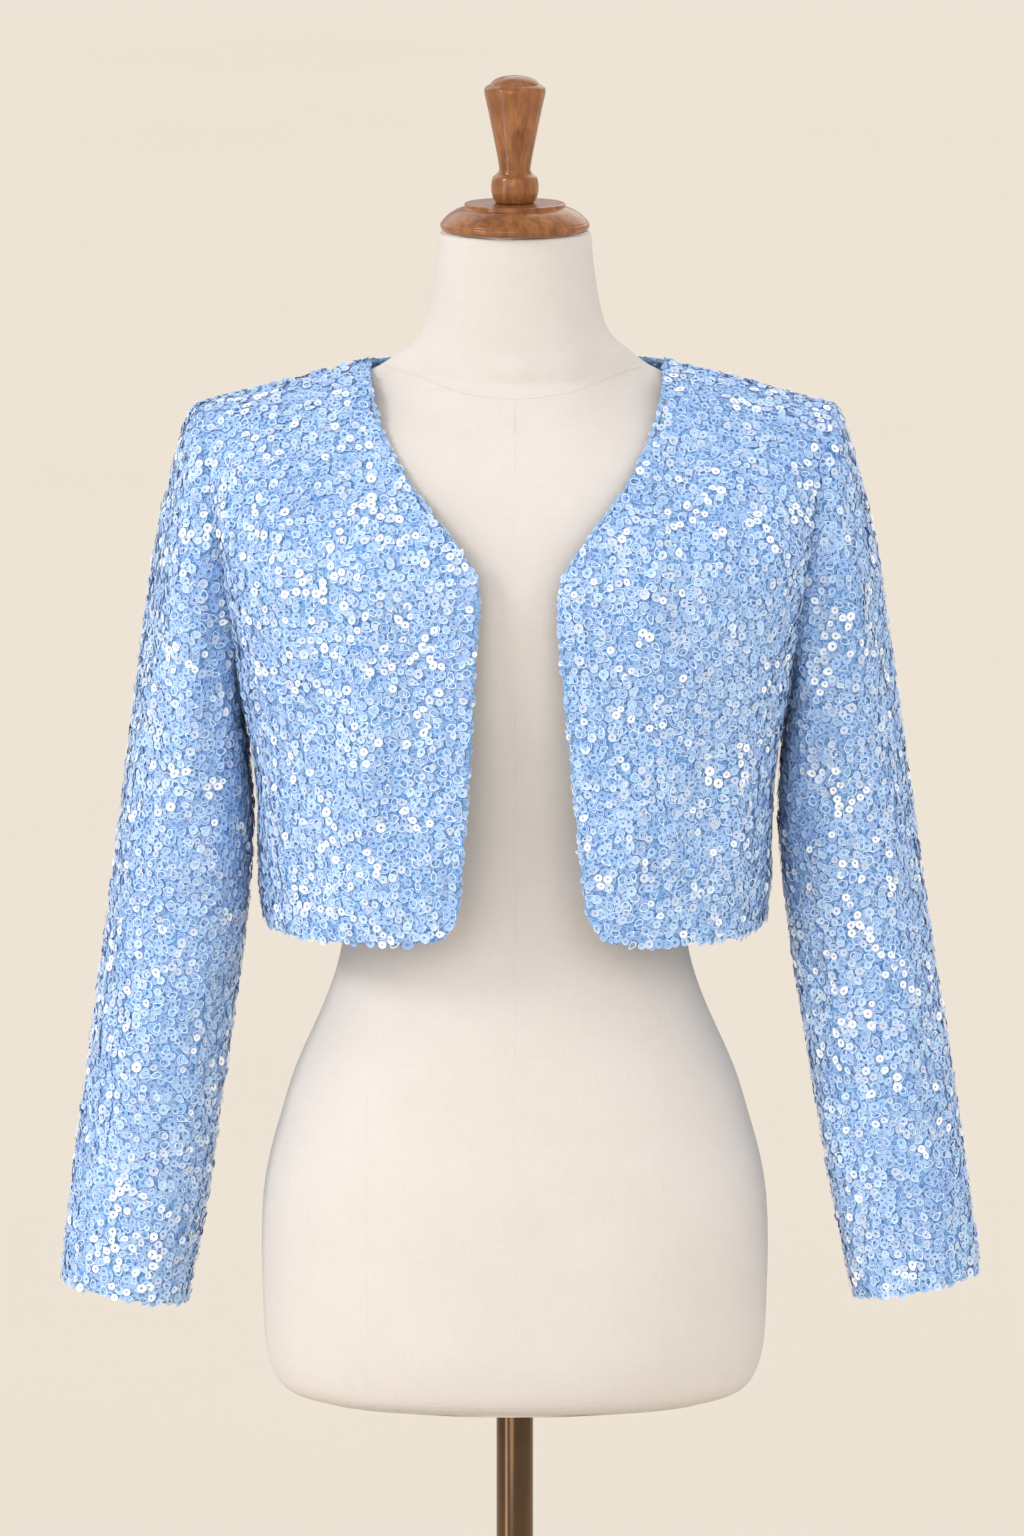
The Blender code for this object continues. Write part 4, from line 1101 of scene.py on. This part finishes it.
seams = [
    upright_seam("seam_front", -1.0, 0.0, 0.700, 1.398),
    upright_seam("seam_back", 1.0, 0.0, 0.700, 1.430),
    upright_seam("seam_right_hip", -1.0, -0.103, 0.705, 0.985),
    upright_seam("seam_left_hip", -1.0, 0.103, 0.705, 0.985),
    upright_seam("seam_right_back", 1.0, -0.096, 0.705, 0.985),
    upright_seam("seam_left_back", 1.0, 0.096, 0.705, 0.985),
    level_seam("seam_neck", 1.398, 1.432),
    level_seam("seam_bottom", 0.697, 0.697),
]
print("seams:", [s.name for s in seams])

# %% [markdown]
# ## Turned wood
#
# The cap of the neck and the handle on it are turned on a lathe and varnished.
# On a lathe the outline is cut once and spun, and bmesh has the same tool. A
# subdivision with kept corners rounds the outline between its points.

# %% The wood finish
wood, tree, shader = new_material("varnished_wood", Specular_IOR_Level=0.4,
                                  Specular_Tint=(1.0, 0.72, 0.50, 1.0), Coat_Weight=0.40,
                                  Coat_Roughness=0.13, Coat_Tint=(1.0, 0.72, 0.50, 1.0))
coordinates = add_node(tree, "ShaderNodeTexCoord")
stretched = add_node(tree, "ShaderNodeMapping",
                     {"Vector": coordinates.outputs["Object"], "Scale": (1.0, 1.0, 0.14)})
grain = noise_node(tree, stretched.outputs[0], 160.0, Detail=6.0, Roughness=0.65, Distortion=0.6)
streaks = ramp_node(tree, grain.outputs["Fac"], [
    (0.30, (0.165, 0.064, 0.025)), (0.45, (0.270, 0.116, 0.047)), (0.60, (0.350, 0.164, 0.069)),
    (0.75, (0.450, 0.225, 0.100))])
aged = use_group(tree, mottle, {"Vector": coordinates.outputs["Object"], "Scale": 30.0,
                                "Light": (1.0, 1.0, 1.0, 1.0), "Dark": (0.66, 0.60, 0.55, 1.0)})
wood_colour = mix_colours(tree, 1.0, streaks.outputs["Color"], aged.outputs["Color"], "MULTIPLY")
tree.links.new(wood_colour.outputs[2], shader.inputs["Base Color"])
wood_gloss = range_node(tree, grain.outputs["Fac"], (0.0, 1.0), (0.36, 0.26))
tree.links.new(wood_gloss.outputs[0], shader.inputs["Roughness"])
add_bump(tree, shader, grain.outputs["Fac"], 0.12, 0.0005)

# %% The lathe
LATHE_STEPS = 72


def turned_piece(name, outline, base_z, material, node, corner=0.0006, levels=1):
    """Spins an outline of radius and height round the Z axis, closes its ends, and rounds it."""
    bm = bmesh.new()
    rows = [(0.0, outline[0][1]), *outline, (0.0, outline[-1][1])]
    verts = [bm.verts.new((r, 0.0, base_z + h)) for r, h in rows]
    for a, b in zip(verts, verts[1:]):
        bm.edges.new((a, b))
    bmesh.ops.spin(bm, geom=bm.verts[:] + bm.edges[:], cent=(0.0, 0.0, 0.0), axis=(0.0, 0.0, 1.0),
                   angle=2.0 * math.pi, steps=LATHE_STEPS, use_merge=True)
    bmesh.ops.remove_doubles(bm, verts=bm.verts, dist=0.00001)
    bmesh.ops.recalc_face_normals(bm, faces=bm.faces)
    piece = new_piece(name, bm, material)
    eased = piece.modifiers.new("eased", "BEVEL")
    eased.width = corner
    eased.segments = 2
    eased.limit_method = "ANGLE"
    eased.angle_limit = math.radians(35.0)
    if levels:
        rounded = piece.modifiers.new("rounded", "SUBSURF")
        rounded.levels = rounded.render_levels = levels
    apply_modifiers(piece)
    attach(piece, BODY)
    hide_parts(node)
    print(name, "faces:", len(piece.data.polygons))
    return piece


CAP_OUTLINE = (
    (0.0500, 0.0000), (0.0516, 0.0015), (0.0521, 0.0035), (0.0518, 0.0050), (0.0508, 0.0058),
    (0.0506, 0.0066), (0.0478, 0.0096), (0.0441, 0.0125), (0.0395, 0.0149), (0.0360, 0.0157),
    (0.0352, 0.0164), (0.0352, 0.0183), (0.0344, 0.0190),
)
HANDLE_OUTLINE = (
    (0.0135, 0.0000), (0.0150, 0.0025), (0.0163, 0.0060), (0.0168, 0.0101), (0.0164, 0.0145),
    (0.0152, 0.0180), (0.0128, 0.0196), (0.0119, 0.0205), (0.0116, 0.0216), (0.0107, 0.0227),
    (0.0120, 0.0310), (0.0138, 0.0400), (0.0156, 0.0494), (0.0178, 0.0600), (0.0199, 0.0700),
    (0.0212, 0.0750), (0.0215, 0.0774), (0.0209, 0.0800), (0.0190, 0.0815), (0.0171, 0.0820),
    (0.0166, 0.0833), (0.0145, 0.0855), (0.0100, 0.0874), (0.0045, 0.0883),
)
turned_piece("wooden_cap", CAP_OUTLINE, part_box("neck_cap")[0].z, wood, "neck_cap")
turned_piece("wooden_handle", HANDLE_OUTLINE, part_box("neck_finial")[0].z, wood, "neck_finial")

# %% [markdown]
# ## The bronze pole and base
#
# The pole is a steel tube with an old bronze finish, a little brushed along
# its length. The picture cuts it off, so the base is the plain weighted plate
# that such a form usually stands on.

# %% The bronze finish and the stand
bronze, tree, shader = new_material("old_bronze", Metallic=0.9)
coordinates = add_node(tree, "ShaderNodeTexCoord")
drawn = add_node(tree, "ShaderNodeMapping",
                 {"Vector": coordinates.outputs["Object"], "Scale": (1.0, 1.0, 0.02)})
brushed = noise_node(tree, drawn.outputs[0], 1600.0, Detail=2.0)
patina = use_group(tree, mottle, {"Vector": coordinates.outputs["Object"], "Scale": 14.0,
                                  "Light": (0.165, 0.100, 0.055, 1.0), "Dark": (0.130, 0.074, 0.038, 1.0)})
tree.links.new(patina.outputs["Color"], shader.inputs["Base Color"])
rough = range_node(tree, brushed.outputs["Fac"], (0.0, 1.0), (0.15, 0.19))
tree.links.new(rough.outputs[0], shader.inputs["Roughness"])
add_bump(tree, shader, brushed.outputs["Fac"], 0.02, 0.0001)

pole_low, pole_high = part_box("pole")
base_low, base_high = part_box("stand_base")
pole_radius = pole_high.x
base_radius = base_high.x
pole_outline = ((pole_radius, 0.0), (pole_radius, pole_high.z - pole_low.z))
turned_piece("bronze_pole", pole_outline, pole_low.z, bronze, "pole", corner=0.0008, levels=0)
turned_piece("bronze_base", ((base_radius, 0.0), (base_radius, 0.010), (base_radius - 0.004, 0.014)),
             0.0, bronze, "stand_base", corner=0.0015, levels=0)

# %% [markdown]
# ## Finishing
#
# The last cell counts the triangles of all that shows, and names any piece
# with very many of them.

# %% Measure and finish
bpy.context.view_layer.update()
total = 0
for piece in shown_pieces():
    piece.data.calc_loop_triangles()
    total += len(piece.data.loop_triangles)
    if len(piece.data.loop_triangles) > 150000:
        print("large piece:", piece.name, len(piece.data.loop_triangles))
print("triangles in all:", total)
